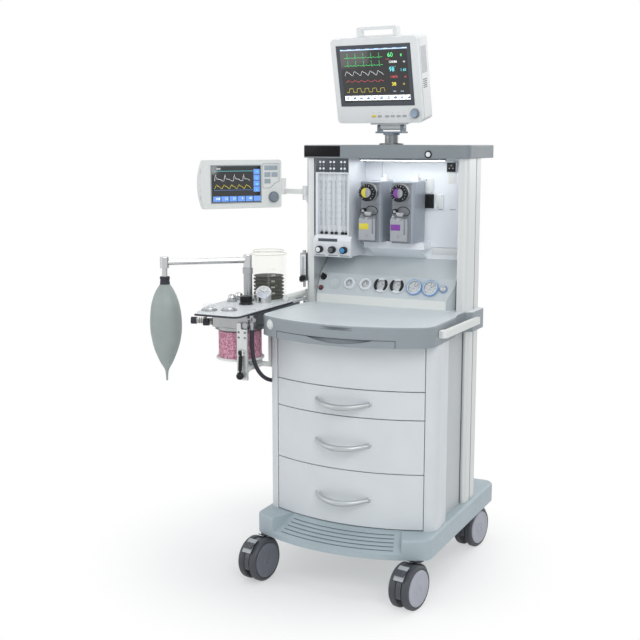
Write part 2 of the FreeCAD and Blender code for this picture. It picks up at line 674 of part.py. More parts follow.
def writing_tray():
    """Pull-out writing board with a bowed front and a finger recess."""
    x0, x1 = TRAY_X
    front = front_band(CAB_TOP, CAB_TOP + TRAY_FRONT_H, TRAY_FRONT_T)
    front = front.common(box(x0, x1, -TOP_FRONT - 5, 0, CAB_TOP, TOP_Z))
    board = box(x0 + 6 + RUN, x1 - 6 - RUN, -TOP_FRONT + 55, TRAY_BOARD_REAR,
                TRAY_BOARD_Z, TRAY_BOARD_Z + TRAY_BOARD_T)
    reach = TRAY_FRONT_T - 2
    inner = rise(bowed(BAND_HALF, 0, TOP_FRONT - reach, TOP_BOW - reach), CAB_TOP, TOP_Z)
    board = board.common(inner)
    scoop_r = (GRIP_HALF ** 2 + 15.0 ** 2) / 30.0
    top = CAB_TOP + TRAY_FRONT_H
    scoop_z = top + scoop_r - 15.0
    scoop = rod(scoop_r, (GRIP_X, -TOP_FRONT - 5, scoop_z), (GRIP_X, -TOP_FRONT + 60, scoop_z))
    scoop = scoop.common(front_band(CAB_TOP, top + 1, 9.0))
    return front.cut(scoop).fuse(board)


def push_rail():
    """Grip rail that bridges the waist on the work top's right side."""
    a, b, c = -326.0, -300.0, -40.0
    out = TOP_LOBE
    face = plan((top_side_x(a), a), (out - 2, a - 4), ((out + 6, a + 4), (out + 8, a + 22)), (out + 15, -18),
                ((out + 13, -11), (out + 6, -9)), (out - 0.1, -9), (out - 1, c),
                (out - 3, c - 18), (out - 8, b + 8),
                (top_side_x(b), b))
    rail = rise(face, RAIL_Z[0], RAIL_Z[1])
    return rail.cut(top_slab())


# ---------------------------------------------------------------- instrument bay
def console_point(z, off=0.0):
    """(y, z) on the console's slanted face at a height, moved out along its normal."""
    t = (z - CONSOLE_LIP) / (CONSOLE_TOP_Z - CONSOLE_LIP)
    n = console_normal()
    return (CONSOLE_FRONT + t * (CONSOLE_TOP_Y - CONSOLE_FRONT) + n[0] * off, z + n[1] * off)


def console_normal():
    """(y, z) of the slanted face's outward normal."""
    dy, dz = CONSOLE_TOP_Y - CONSOLE_FRONT, CONSOLE_TOP_Z - CONSOLE_LIP
    length = math.hypot(dy, dz)
    return (-dz / length, dy / length)


def on_console(shape, x, z, off=0.0):
    """Shape modelled along +Z, set on the slanted face."""
    y, zz = console_point(z, off)
    n = console_normal()
    return aim(shape, (x, y, zz), (0, n[0], n[1]))


def gauge_console():
    """Wedge-shaped console with a slanted gauge face, a lip below and a sloping top."""
    x0, x1 = CONSOLE_X
    body = profile_x([(CONSOLE_FRONT, TOP_Z), (CONSOLE_FRONT, CONSOLE_LIP), (CONSOLE_TOP_Y, CONSOLE_TOP_Z),
                      (WALL_Y, CONSOLE_BACK_Z), (WALL_Y, TOP_Z)], x0, x1)
    c = CONSOLE_CHAMFER
    wedge = plan((x1 - c, CONSOLE_FRONT - 1), (x1 + 1, CONSOLE_FRONT - 1), (x1 + 1, CONSOLE_FRONT + c + 1))
    body = body.cut(rise(wedge, TOP_Z, CONSOLE_BACK_Z))
    for x, r in GAUGES:
        body = body.cut(on_console(Part.makeCylinder(r - 2.5, 14), x, GAUGE_Z, -14.0))
    body = body.cut(on_console(Part.makeCylinder(5 + FIT, 20), SELECTOR_X, SELECTOR_Z, -20.0))
    body = body.cut(on_console(Part.makeCylinder(BUTTON_R - 1.5 + FIT, 20), SELECTOR_X - 3, BUTTON_Z, -20.0))
    outlet = lathe([(0, 0), (OUTLET_R, 0), (OUTLET_R, 5), (OUTLET_R - 2, 7), (0, 7)])
    bore = lathe([(0, -OUTLET_DEPTH), (OUTLET_BORE, -OUTLET_DEPTH), (OUTLET_BORE, 5),
                  (OUTLET_BORE + 2, 7.001), (0, 7.001)])
    body = body.fuse(on_console(outlet, OUTLET_X, GAUGE_Z))
    return body.cut(on_console(bore, OUTLET_X, GAUGE_Z))


def gauge_cases():
    """Six pressure gauges: bezel cup, needle and lens each."""
    parts = []
    for i, (x, r) in enumerate(GAUGES):
        cup = lathe([(0, -12), (r - 3.2, -12), (r - 3.2, 0), (r, 0), (r, GAUGE_H - 3), (r - 2.5, GAUGE_H),
                     (r - 5, GAUGE_H), (r - 5, 2), (0, 2)])
        parts.append(on_console(cup, x, GAUGE_Z))
        lens = Part.makeCylinder(r - 5, LENS_T)
        parts.append(on_console(lens, x, GAUGE_Z, GAUGE_H - LENS_T - 1.0))
        needle = box(-0.7, 0.7, -0.15 * r, 0.62 * r, 0, NEEDLE_T).fuse(Part.makeCylinder(2.2, 2.6))
        needle = turned(needle, -50 + 14 * i)
        parts.append(on_console(needle, x, GAUGE_Z, 2.0))
    return group(*parts)


def selector_switch():
    """Black rotary switch with a pointer bar."""
    knob = lathe([(0, -16), (5, -16), (5, RUN), (SELECTOR_R, RUN), (SELECTOR_R, 6),
                  (SELECTOR_R - 2, 8), (0, 8)])
    knob = knob.fuse(box(-2.6, 2.6, -SELECTOR_R + 1, SELECTOR_R - 1, 7, 17))
    return on_console(turned(knob, -35), SELECTOR_X, SELECTOR_Z)


def console_button():
    """Small round push-button below the switch."""
    cap = lathe([(0, -16), (BUTTON_R - 1.5, -16), (BUTTON_R - 1.5, 4.5),
                 (BUTTON_R, 4.5), (BUTTON_R, 8), (BUTTON_R - 1, 9),
                 (0, 9)])
    return on_console(cap, SELECTOR_X - 3, BUTTON_Z)


def flowmeter_block():
    """Flow-meter cabinet: header, recessed tube panel and a knob block below that stands forward."""
    x0, x1 = FLOW_X
    body = box(x0, x1, FLOW_FRONT, WALL_Y, FLOW_BOTTOM, SHELF_Z)
    low = profile_x([(FLOW_FRONT + 5, FLOW_BOTTOM), (FLOW_FRONT - FLOW_LOW_OUT + 6, FLOW_BOTTOM),
                     (FLOW_FRONT - FLOW_LOW_OUT, FLOW_BOTTOM + 8), (FLOW_FRONT - FLOW_LOW_OUT, FLOW_SPLIT - 16),
                     (FLOW_FRONT, FLOW_SPLIT), (FLOW_FRONT + 5, FLOW_SPLIT)], x0 - 4, x1 + 12)
    body = body.fuse(low)
    body = body.cut(box(x0 + 9, x1 - 5, FLOW_FRONT - 1, FLOW_FRONT + TUBE_RECESS, *TUBE_Z))
    for x in FLOW_KNOB_X:
        y = FLOW_FRONT - FLOW_LOW_OUT
        body = body.cut(rod(4 + FIT, (x, y - 1, FLOW_KNOB_Z), (x, y + 16, FLOW_KNOB_Z)))
    return body


def flowmeter_tubes():
    """Six glass tubes, each with its float, seated between the panel's end faces."""
    y = FLOW_FRONT + TUBE_RECESS - TUBE_R - 0.4
    parts = []
    z0, z1 = TUBE_Z
    for x in TUBE_X:
        tube = Part.makeCylinder(TUBE_R, z1 - z0, V(x, y, z0))
        bore = Part.makeCylinder(TUBE_R - 1.3, z1 - z0 - 12, V(x, y, z0 + 6))
        parts.append(tube.cut(bore))
        float_z = z0 + 6
        parts.append(lathe([(0, 0), (1.2, 0), (TUBE_R - 1.6, 6), (TUBE_R - 1.6, 9), (0, 9)], (x, y, float_z)))
    return group(*parts)


def flow_knob(x):
    """Fluted flow-control knob with its spindle, pointing forward."""
    body = lathe([(0, -14), (4, -14), (4, RUN), (FLOW_KNOB_R, RUN), (FLOW_KNOB_R, FLOW_KNOB_L - 2),
                  (FLOW_KNOB_R - 2, FLOW_KNOB_L), (0, FLOW_KNOB_L)])
    for i in range(12):
        flute = Part.makeCylinder(1.6, FLOW_KNOB_L, V(FLOW_KNOB_R + 0.4, 0, 2))
        body = body.cut(turned(flute, 30 * i))
    return aim(body, (x, FLOW_FRONT - FLOW_LOW_OUT, FLOW_KNOB_Z), (0, -1, 0))


def vaporizer_rail():
    """Back bar that carries both vaporizers on the wall."""
    x0, x1 = VAP_X[0] - VAP_HALF - 6, VAP_X[1] + VAP_HALF + 22
    z1 = VAP_Z[0]
    bar = box(x0, x1, -8, WALL_Y, z1 - VAP_RAIL_T, z1)
    gusset = [(-8, z1 - VAP_RAIL_T), (WALL_Y, z1 - 60), (WALL_Y, z1 - VAP_RAIL_T)]
    bar = bar.fuse(profile_x(gusset, x0 + 14, x1 - 14))
    return bar


def vaporizer(x):
    """Vaporizer body with dial collar, wedge shoulder, filler block, filler cap and lock lever."""
    z0, z1 = VAP_Z
    h = VAP_HALF
    body = rise(plan((x - h, VAP_REAR), (x - h, VAP_FRONT + 9),
                     ((x - h + 2.6, VAP_FRONT + 2.6), (x - h + 9, VAP_FRONT)), (x + h - 20, VAP_FRONT),
                     ((x + h - 8, VAP_FRONT + 5), (x + h, VAP_FRONT + 26)), (x + h, VAP_REAR)),
                z0, z1)
    body = round_edges(body, 3.0, lambda e: level(e, z1))
    body = body.cut(rod(6 + FIT, (x, VAP_FRONT - 1, DIAL_Z), (x, VAP_FRONT + 22, DIAL_Z)))
    lever = box(x + h - 34, x + h - 10, 8, 40, z1, z1 + 12)
    lever = lever.fuse(Part.makeCylinder(9, 22, V(x + h - 22, 26, z1)))
    fz = z0 + 8
    y = VAP_FRONT - FILLER_OUT
    filler = profile_x([(VAP_FRONT, fz), (y, fz), (y, fz + FILLER_H - 12), (VAP_FRONT, fz + FILLER_H)],
                       x - h + FILLER_SIDE, x - h + FILLER_SIDE + 2 * FILLER_HALF)
    top = fz + FILLER_H
    notch = profile_x([(y - 1, top - 18), (y - 1, top + 1), (VAP_FRONT - 3, top + 1)],
                      x - h + 24, x - h + 44)
    filler = filler.cut(notch)
    cap = lathe([(0, 0), (8, 0), (8, 9), (6, 12), (0, 12)])
    cap = aim(cap, (x - h + 16, VAP_FRONT, top + 14), (0, -1, 0))
    return group(body, lever, filler, cap)


def vaporizer_dial(x):
    """Concentration dial: collar, graduated ring and grip hub."""
    r, depth = DIAL_R, DIAL_L
    dial = lathe([(0, -20), (6, -20), (6, RUN), (r + 1, RUN), (r + 1, 16), (r - 1, 17), (r - 1, depth - 3),
                  (r - 4, depth), (13, depth), (13, depth + 5), (11, depth + 7), (0, depth + 7)])
    for i in range(20):
        dial = dial.cut(turned(Part.makeCylinder(1.7, depth, V(r + 0.3, 0, 19)), 18 * i))
    return aim(dial, (x, VAP_FRONT, DIAL_Z), (0, -1, 0))


def auxiliary_flowmeter():
    """Small flow meter on the left column's outer face."""
    x0, x1 = -COL_OUT - AUX_OUT, -COL_OUT
    y0, y1 = AUX_Y
    z0, z1 = AUX_Z
    low, high = z0 + 14, z1 - 12
    xc = x0 + 11
    body = box(x0, x1 - 2, y0, y1, z0, z1).cut(box(xc - 5, xc + 5, y0 - 1, y0 + 5, low, high))
    tube = Part.makeCylinder(3.6, high - low, V(xc, y0 + 1.2, low))
    body = body.fuse(box(x1 - 4, x1, y0 + 14, y1, z0 + 12, z1 - 16))
    knob = aim(lathe([(0, 0), (9, 0), (9, 11), (7, 13), (0, 13)]), (xc, y0, z0 + 5), (-0.3, -1, 0))
    cap = Part.makeCylinder(6.5, 9, V(xc, y0 + 10, z1))
    outlet = rod(4.5, (xc, y0 + 10, z0 - 22), (xc, y0 + 10, z0))
    return group(body.cut(tube), tube, knob.cut(body), cap, outlet)


# ---------------------------------------------------------------- monitor
def monitor_place(shape):
    """Shape in the monitor's own frame (screen centre, X right, Y back, Z up) set in the machine."""
    copy = shape.copy()
    copy.rotate(V(0, 0, 0), X_AXIS, -MON_TILT)
    copy.rotate(V(0, 0, 0), Z_AXIS, MON_PAN)
    return copy.translated(V(*MON_CENTRE))


def monitor_post():
    """Flanged post on the top shelf."""
    x, y = POST_XY
    z = SHELF_Z + SHELF_T
    foot = z - FLANGE_SEAT
    rim = z + FLANGE_T
    return lathe([(0, foot), (FLANGE_R, foot), (FLANGE_R, rim - 2), (FLANGE_R - 2, rim), (POST_R, rim),
                  (POST_R, POST_TOP), (9 + FIT, POST_TOP), (9 + FIT, POST_TOP - 22), (0, POST_TOP - 22)],
                 (x, y, 0))


def monitor_head():
    """Swivel head: disc and spigot below, two ears above that hold the tilt pin."""
    x, y = POST_XY
    z = POST_TOP + RUN
    disc_r = POST_R + 5
    head = lathe([(0, z - 20), (9, z - 20), (9, z), (disc_r, z), (disc_r, z + 7), (0, z + 7)], (x, y, 0))
    head = head.fuse(box(x - EAR_OUT, x + EAR_OUT, y - 24, y + 24, z + 6, z + 12))
    for s in (-1, 1):
        a, b = sorted((x + s * EAR_OUT, x + s * (EAR_OUT - 12)))
        ear = box(a, b, y - EAR_R, y + EAR_R, z + 11, HINGE_Z)
        ear = ear.fuse(rod(EAR_R, (a, y, HINGE_Z), (b, y, HINGE_Z)))
        head = head.fuse(ear)
    head = head.cut(rod(HINGE_R + FIT, (x - EAR_OUT - 10, y, HINGE_Z), (x + EAR_OUT + 10, y, HINGE_Z)))
    return turned(head, MON_PAN, POST_XY)


def monitor_housing():
    """Monitor casing with tapered back, top handle, bezel recess, and the tilt lug with its pin below."""
    w, h = MON_W / 2, MON_H / 2
    shell = box(-w, w, 0, MON_SIDE, -h, h)
    shell = round_edges(shell, 14.0, lambda e: abs(e.BoundBox.YLength - MON_SIDE) < 1e-3)
    back = Part.makeLoft([Part.makePolygon([V(-a, y, -b), V(a, y, -b), V(a, y, b), V(-a, y, b), V(-a, y, -b)])
                          for a, b, y in ((w - 8, h - 8, MON_SIDE - 1), (w - 50, h - 46, MON_D))], True)
    shell = shell.fuse(back)
    shell = shell.cut(box(-w + 19, w - 25, -1, 3.0, -h + 58, h - 22))
    shell = shell.cut(aim(Part.makeCylinder(5 + FIT, 21), (w - 26, 20, -h + 32), (0, -1, 0)))
    grip = box(-HANDLE_W / 2, HANDLE_W / 2, 34, 62, h - 2, h + HANDLE_H)
    grip = round_edges(grip, 9.0, lambda e: level(e, h + HANDLE_H) and e.BoundBox.YLength > 20)
    grip = grip.cut(box(-HANDLE_W / 2 + 14, HANDLE_W / 2 - 14, 30, 70, h, h + HANDLE_H - 11))
    shell = monitor_place(shell.fuse(grip))
    x, y = POST_XY
    lug = box(x - 38 + RUN, x + 38 - RUN, y - EAR_R, y + EAR_R, HINGE_Z, HINGE_Z + 60)
    lug = lug.fuse(rod(EAR_R, (x - 38 + RUN, y, HINGE_Z), (x + 38 - RUN, y, HINGE_Z)))
    lug = lug.fuse(rod(HINGE_R, (x - 50, y, HINGE_Z), (x + 50, y, HINGE_Z)))
    lug = turned(lug, MON_PAN, POST_XY)
    plate = monitor_place(box(-40, 100, 8, 80, -h - 7, -h))
    lug = lug.cut(monitor_place(box(-w, w, -20, MON_D + 20, -h - 7, h))).fuse(plate)
    return group(shell, lug)


def monitor_knob():
    """Turn knob at the screen's lower right."""
    knob = lathe([(0, -18), (5, -18), (5, RUN), (15, RUN), (15, 5), (13, 12), (11, 13), (0, 13)])
    return monitor_place(aim(knob, (MON_W / 2 - 26, 0, -MON_H / 2 + 32), (0, -1, 0)))


# ---------------------------------------------------------------- ventilator display
def display_axes():
    """Unit vectors of the display: along its width, and back from its face."""
    a = math.radians(DISP_PAN)
    return V(math.cos(a), math.sin(a), 0), V(-math.sin(a), math.cos(a), 0)


def display_place(shape):
    """Shape in the display's own frame (face centre, X right, Y back) set beside its joint."""
    u, back = display_axes()
    at = V(DISP_JOINT[0], DISP_JOINT[1], DISP_Z) - u * (DISP_W / 2 + ARM_R + 1) - back * (DISP_D / 2)
    copy = shape.copy()
    copy.rotate(V(0, 0, 0), Z_AXIS, DISP_PAN)
    return copy.translated(at)


def display_arm():
    """Short swing arm: a barrel over the bracket's pin and a barrel with a pin for the display."""
    (x, y), (u, v) = ARM_XY, DISP_JOINT
    z = ARM_Z - ARM_H / 2
    barrel = Part.makeCylinder(ARM_R, ARM_H, V(x, y, z))
    end = Part.makeCylinder(ARM_R, ARM_H - 10, V(u, v, z))
    length = math.hypot(u - x, v - y)
    bar = box(0, length, -7, 7, z + 3, z + ARM_H - 12)
    bar.rotate(V(0, 0, 0), Z_AXIS, math.degrees(math.atan2(v - y, u - x)))
    arm = barrel.fuse(bar.translated(V(x, y, 0))).fuse(end)
    arm = arm.fuse(Part.makeCylinder(6, 26, V(u, v, z + ARM_H - 12)))
    return arm.cut(Part.makeCylinder(6 + FIT, ARM_H - 3, V(x, y, z - 1)))


def display_housing():
    """Flat housing with a bulged left end, screen recess, and a barrel on the arm's pin."""
    w, h, d = DISP_W / 2, DISP_H / 2, DISP_D
    face = plan((-w + 14, -h), (w - 8, -h), ((w - 2.4, -h + 2.4), (w, -h + 8)), (w, h - 8),
                ((w - 2.4, h - 2.4), (w - 8, h)),
                (-w + 14, h), ((-w - 2, 0), (-w + 14, -h)))
    face = Part.Face(face.OuterWire)
    body = face.extrude(V(0, 0, d))
    body.rotate(V(0, 0, 0), X_AXIS, 90)
    body = body.translated(V(0, d, 0))
    body = round_edges(body, 5.0, lambda e: abs(e.BoundBox.YMin - d) < 1e-3 and e.BoundBox.YLength < 1e-3)
    body = body.cut(box(-w + 37, w - 80, -1, 2.0, -h + 22, h - 20))
    body = body.cut(aim(Part.makeCylinder(5 + FIT, 21), (w - 32, 20, -h + 38), (0, -1, 0)))
    body = display_place(body)
    x, y = DISP_JOINT
    z = ARM_Z - ARM_H / 2 + ARM_H - 10 + RUN
    u, back = display_axes()
    barrel = Part.makeCylinder(ARM_R, 34, V(x, y, z))
    link = box(-ARM_R - 4, 0, -9, 9, z, z + 34)
    link.rotate(V(0, 0, 0), Z_AXIS, DISP_PAN)
    barrel = barrel.fuse(link.translated(V(x, y, 0)))
    return body.fuse(barrel).cut(Part.makeCylinder(6 + FIT, 26, V(x, y, z - 1)))


def display_knob():
    """Turn knob below the keypad, with a finger dimple."""
    r = DISP_KNOB_R
    knob = lathe([(0, -18), (5, -18), (5, RUN), (r, RUN), (r, 8), (r - 3, 13), (0, 13)])
    knob = knob.cut(Part.makeSphere(5, V(0.5 * r, 0, 16)))
    return display_place(aim(knob, (DISP_W / 2 - 32, 0, -DISP_H / 2 + 38), (0, -1, 0)))


# ---------------------------------------------------------------- breathing system
def absorber_bracket():
    """Clamp tube from the left column to the cover plate, and the lower angle arm under the work top."""
    y = PLATE_Y[1] - 20
    top = PLATE_Z
    block = box(-COL_OUT - 30, -COL_OUT, PLATE_Y[1], 30, TOP_Z, top + 28)
    tube = rod(11, (-COL_OUT - 30 + 4, 8, top + 11.5), (PLATE_X[1] - 16, 8, top + 11.5))
    tube = tube.fuse(rod(11, (PLATE_X[1] - 16, 8, top + 11.5), (PLATE_X[1] - 16, y - 110, top + 11.5)))
    tube = tube.fuse(Part.makeSphere(11, V(PLATE_X[1] - 16, 8, top + 11.5)))
    saddle = box(PLATE_X[1] - 28, PLATE_X[1] - 4, y - 100, y - 60, top, top + 6)
    upper = block.fuse(tube).fuse(saddle)
    side = SIDE_IN + SIDE_T
    y0, y1 = ANGLE_Y
    z0, z1 = CLAMP_Z[0] + 26, CLAMP_Z[0] + 40
    post = box(-PILLAR_X - 14, -PILLAR_X - 4, y0, y1, z0, CAB_TOP)
    foot = box(-PILLAR_X - 14, -side + 2, y0, y1 + 62, CAB_TOP - 12, CAB_TOP).cut(cabinet_shell())
    arm = box(CLAMP_X[1] - 24, -PILLAR_X - 4, y0, y1, z0, z1)
    reach = box(CLAMP_X[1] - 24, CLAMP_X[1] - 8, CLAMP_Y + CLAMP_T, y1, z0, z1)
    return group(upper, post.fuse(foot).fuse(arm).fuse(reach))


def manifold_plate():
    """Cover plate with the bag post screwed into it."""
    (x0, x1), (y0, y1) = PLATE_X, PLATE_Y
    face = plan((x0, y1), (x0, -330), (x0 + 57, y0), (x1 - 24, y0), ((x1 - 7, y0 + 7), (x1, y0 + 24)),
                (x1, y1))
    plate = rise(face, PLATE_Z - PLATE_T, PLATE_Z)
    plate = round_edges(plate, 2.5, lambda e: level(e, PLATE_Z))
    x, y = APL_XY
    plate = plate.cut(rod(6 + FIT, (x, y, PLATE_Z - PLATE_T - 1), (x, y, PLATE_Z + 1)))
    x, y = POST2_XY
    low = BAG_ARM_Z - COLLAR_R - 28
    foot_r = COLLAR_R + 3
    post = lathe([(0, PLATE_Z), (foot_r, PLATE_Z), (foot_r, PLATE_Z + 6), (POST2_R, PLATE_Z + 9),
                  (POST2_R, low), (COLLAR_R, low), (COLLAR_R, low + 20), (9, low + 20),
                  (9, POST2_TOP - 6), (0, POST2_TOP - 6)], (x, y, 0))
    return group(plate, post)


def breathing_manifold():
    """Manifold block under the plate with two capped ports, side fitting and hose barb."""
    top = PLATE_Z - PLATE_T
    block = box(BLOCK_X[0], BLOCK_X[1], BLOCK_FRONT, BLOCK_REAR, CAN_Z[1] + 10, top)
    block = round_edges(block, 12.0, upright)
    rear = box(CHANNEL_X, BLOCK_X[1], BLOCK_REAR, CHANNEL_REAR, top - 38, top)
    flange_r = CAN_R + CAN_FLANGE
    ring = lathe([(0, CAN_Z[1]), (flange_r, CAN_Z[1]), (flange_r, CAN_Z[1] + 10), (0, CAN_Z[1] + 10)],
                 (CAN_XY[0], CAN_XY[1], 0))
    body = block.fuse(rear).fuse(ring)
    x, y = APL_XY
    body = body.cut(rod(6 + FIT, (x, y, top - 22), (x, y, top + 1)))
    parts = []
    z = PORT_Z
    for px, py in PORTS:
        port = rod(9, (BLOCK_X[0] + 8, py + 32, z), (px + 8, py, z))
        port = port.fuse(rod(11.5, (px + 30, py + 8, z), (px + 40, py + 11, z)))
        cap = rod(12, (px + 8, py, z), (px - 10, py - 6, z))
        body = body.fuse(port)
        parts.append(cap.cut(port))
    hx, hy, hz = HOSE_ROUTE[0]
    low = hz + SOFT_GAP
    fitting = lathe([(0, low), (8.5, low), (8.5, hz + 14), (11, hz + 14), (11, hz + 24), (8.5, hz + 24),
                     (8.5, top - 3), (0, top - 3)], (hx, hy, 0))
    side_z = hz + 34
    side = rod(8, (BLOCK_X[1] - 8, hy, side_z), (hx, hy, side_z))
    side = side.fuse(rod(7, (hx, hy, side_z), (hx + 15, hy - 12, side_z)))
    kx, kz = BLOCK_X[1] - 2, hz + 16
    knob = rod(10, (kx, hy - 24, kz), (kx, hy - 12, kz)).fuse(rod(4, (kx, hy - 12, kz), (kx, hy, side_z)))
    return group(body.fuse(side).fuse(fitting), knob.cut(side).cut(fitting).cut(body), *parts)


def instruments():
    """Valve domes, clear valve covers and the circuit's pressure gauge with its slanted face."""
    parts = []
    for (x, y), r, h in zip(VALVE_XY, VALVE_R, VALVE_H):
        cap = [(0, 0), (r, 0), (r, h * 0.55), (0.86 * r, h * 0.8), (0.5 * r, h * 0.96), (0, h)]
        parts.append(lathe(cap, (x, y, PLATE_Z)))
    x, y = GAUGE_XY
    drum = Part.makeCylinder(GAUGE2_R, 52, V(x, y, PLATE_Z))
    blade = box(-60, 60, -60, 60, 0, 80)
    blade.rotate(V(0, 0, 0), V(1, 0.45, 0), 32)
    drum = drum.cut(blade.translated(V(x, y, PLATE_Z + 36)))
    return group(drum, *parts)


def apl_knob():
    """Relief valve knob: flared skirt and fluted cap on a spindle."""
    x, y = APL_XY
    r, h = APL_R, APL_H
    knob = lathe([(0, -24), (6, -24), (6, RUN), (r, RUN), (r + 0.8, 5), (r - 3, 9),
                  (r - 3, h - 3), (r - 5, h), (0, h)])
    for i in range(16):
        knob = knob.cut(turned(Part.makeCylinder(1.5, h, V(r - 2.2, 0, 11)), 22.5 * i))
    return knob.translated(V(x, y, PLATE_Z))


def bellows():
    """Concertina with a flat top disc, standing on the plate."""
    r, n = BELLOWS_R, BELLOWS_FOLDS
    pitch = (BELLOWS_H - 8) / n
    points = [(0, 0), (r - 8, 0)]
    for i in range(n):
        points += [(r - 8, i * pitch + 1), (r, i * pitch + 0.4 * pitch), (r, i * pitch + 0.6 * pitch)]
    points += [(r - 8, n * pitch), (r, n * pitch), (r, BELLOWS_H), (0, BELLOWS_H)]
    return lathe(points, (BELLOWS_XY[0], BELLOWS_XY[1], PLATE_Z + SOFT_GAP))


def bellows_dome():
    """Clear dome over the bellows, open below, with a foot ring and a rounded crown."""
    r, t, h = DOME_R, DOME_T, DOME_H
    outer = [(r + 5, 0), (r + 5, 8), (r, 8), (r, h - 10), (r - 3, h - 3), (r - 10, h), (0, h)]
    inner = [(0, h - t), (r - 10 - t, h - t), (r - t, h - 12), (r - t, 0)]
    return lathe(outer + inner, (BELLOWS_XY[0], BELLOWS_XY[1], PLATE_Z))


def canister():
    """Clear absorber canister with a bottom plate."""
    x, y = CAN_XY
    z0, z1 = CAN_Z
    f = CAN_R + CAN_FLANGE
    cup = lathe([(0, z0 - 12), (f, z0 - 12), (f, z0 - 2), (CAN_R, z0), (CAN_R, z1), (CAN_R - CAN_T, z1),
                 (CAN_R - CAN_T, z0), (0, z0)], (x, y, 0))
    return cup


def absorbent():
    """Granule fill of the canister."""
    x, y = CAN_XY
    z0, z1 = CAN_Z
    return Part.makeCylinder(CAN_R - CAN_T, z1 - z0 - 6, V(x, y, z0))


def canister_clamp():
    """Clamp plate in front of the canister with a gusseted shelf under it."""
    x0, x1 = CLAMP_X
    y = CLAMP_Y
    z0, z1 = CLAMP_Z
    plate = box(x0, x1, y, y + CLAMP_T, z0, z1 + 2)
    top = box(x0, x0 + 15, y, BLOCK_FRONT, z1 - 4, z1 + 22)
    fz = CAN_Z[0] - 12
    shelf_y = CAN_XY[1] + 30
    shelf = profile_x([(y + CLAMP_T, z0 + 4), (shelf_y, fz - 12), (shelf_y, fz), (y + CLAMP_T, fz)],
                      x0 + 3, x0 + 13)
    pad = box(x0 - 30, x0 + 26, CAN_XY[1] - 30, CAN_XY[1] + 30, fz - 8, fz)
    clamp = plate.fuse(top).fuse(shelf).fuse(pad)
    xm = 0.5 * (x0 + x1)
    ears = [box(a, a + 5, y - 12, y, LEVER_Z - 9, LEVER_Z + 9) for a in (xm - 12, xm + 7)]
    ears = ears[0].fuse(ears[1])
    clamp = clamp.fuse(ears).cut(rod(2.5 + FIT, (xm - 20, y - 7, LEVER_Z), (xm + 20, y - 7, LEVER_Z)))
    screws = [aim(lathe([(0, 0), (3.2, 0), (3.2, 1.6), (0, 2.4)]), (x, y, z), (0, -1, 0))
              for x in (x0 + 7, x1 - 7) for z in (z1 - 8, z1 - 28)]
    return clamp.fuse(screws[0]).fuse(screws[1]).fuse(screws[2]).fuse(screws[3])


def clamp_lever():
    """Locking lever with a grip sleeve and a ball, hanging down along the clamp plate."""
    xm = 0.5 * (CLAMP_X[0] + CLAMP_X[1])
    y = CLAMP_Y - 7.0
    lever = rod(6, (xm - 7 + RUN, y, LEVER_Z), (xm + 7 - RUN, y, LEVER_Z))
    lever = lever.fuse(rod(2.5, (xm - 12, y, LEVER_Z), (xm + 12, y, LEVER_Z)))
    lever = lever.fuse(rod(4, (xm, y - 1, LEVER_Z), (xm, y - 7, BALL_Z)))
    lever = lever.fuse(rod(6.5, (xm, y - 2, LEVER_Z - 12), (xm, y - 6, LEVER_Z - 58)))
    lever = lever.fuse(Part.makeSphere(BALL_R, V(xm, y - 7, BALL_Z)))
    return lever


def bag_arm():
    """Horizontal tube from the post's sleeve to the elbow, and the neck that holds the bag."""
    (x, y), (u, v) = POST2_XY, BAG_XY
    z = BAG_ARM_Z
    low = z - COLLAR_R - 8 + RUN
    pin_top = POST2_TOP - 6 + RUN
    sleeve = lathe([(0, pin_top), (9 + FIT, pin_top), (9 + FIT, low), (POST2_R, low),
                    (POST2_R, POST2_TOP - 2),
                    (POST2_R - 2, POST2_TOP), (0, POST2_TOP)], (x, y, 0))
    d = V(u - x, v - y, 0)
    d.normalize()
    start = V(x, y, z) + d * (POST2_R - 3)
    tube = rod(BAG_ARM_R, tuple(start), (u, v, z))
    elbow = lathe([(0, z - 19), (15.5, z - 19), (15.5, z + 17), (13.5, z + 19), (0, z + 19)], (u, v, 0))
    neck = Part.makeCylinder(9.5, z - 19 - (BAG_TOP + 4), V(u, v, BAG_TOP + 4))
    collar = lathe([(0, BAG_TOP), (15.5, BAG_TOP), (15.5, BAG_TOP + 24), (0, BAG_TOP + 24)], (u, v, 0))
    return sleeve.fuse(tube).fuse(elbow).fuse(neck).fuse(collar)


def bag_profile():
    """(radius, z) outline of the bag: slim neck, belly above the middle, tapered tail."""
    length = BAG_TOP - BAG_BOTTOM
    shape = ((0.0, 0.27), (0.05, 0.36), (0.15, 0.63), (0.28, 0.88), (0.41, 0.99), (0.54, 0.97),
             (0.66, 0.84), (0.77, 0.62), (0.86, 0.33), (0.90, 0.15), (0.93, 0.09), (1.0, 0.07))
    return [(BAG_R * w, BAG_TOP - 0.3 - (length - 0.3) * t) for t, w in shape]


def breathing_bag():
    """Slack breathing bag hanging from the collar."""
    side = bag_profile()
    return lathe([(0, side[0][1])] + side + [(0, side[-1][1])], (BAG_XY[0], BAG_XY[1], 0))


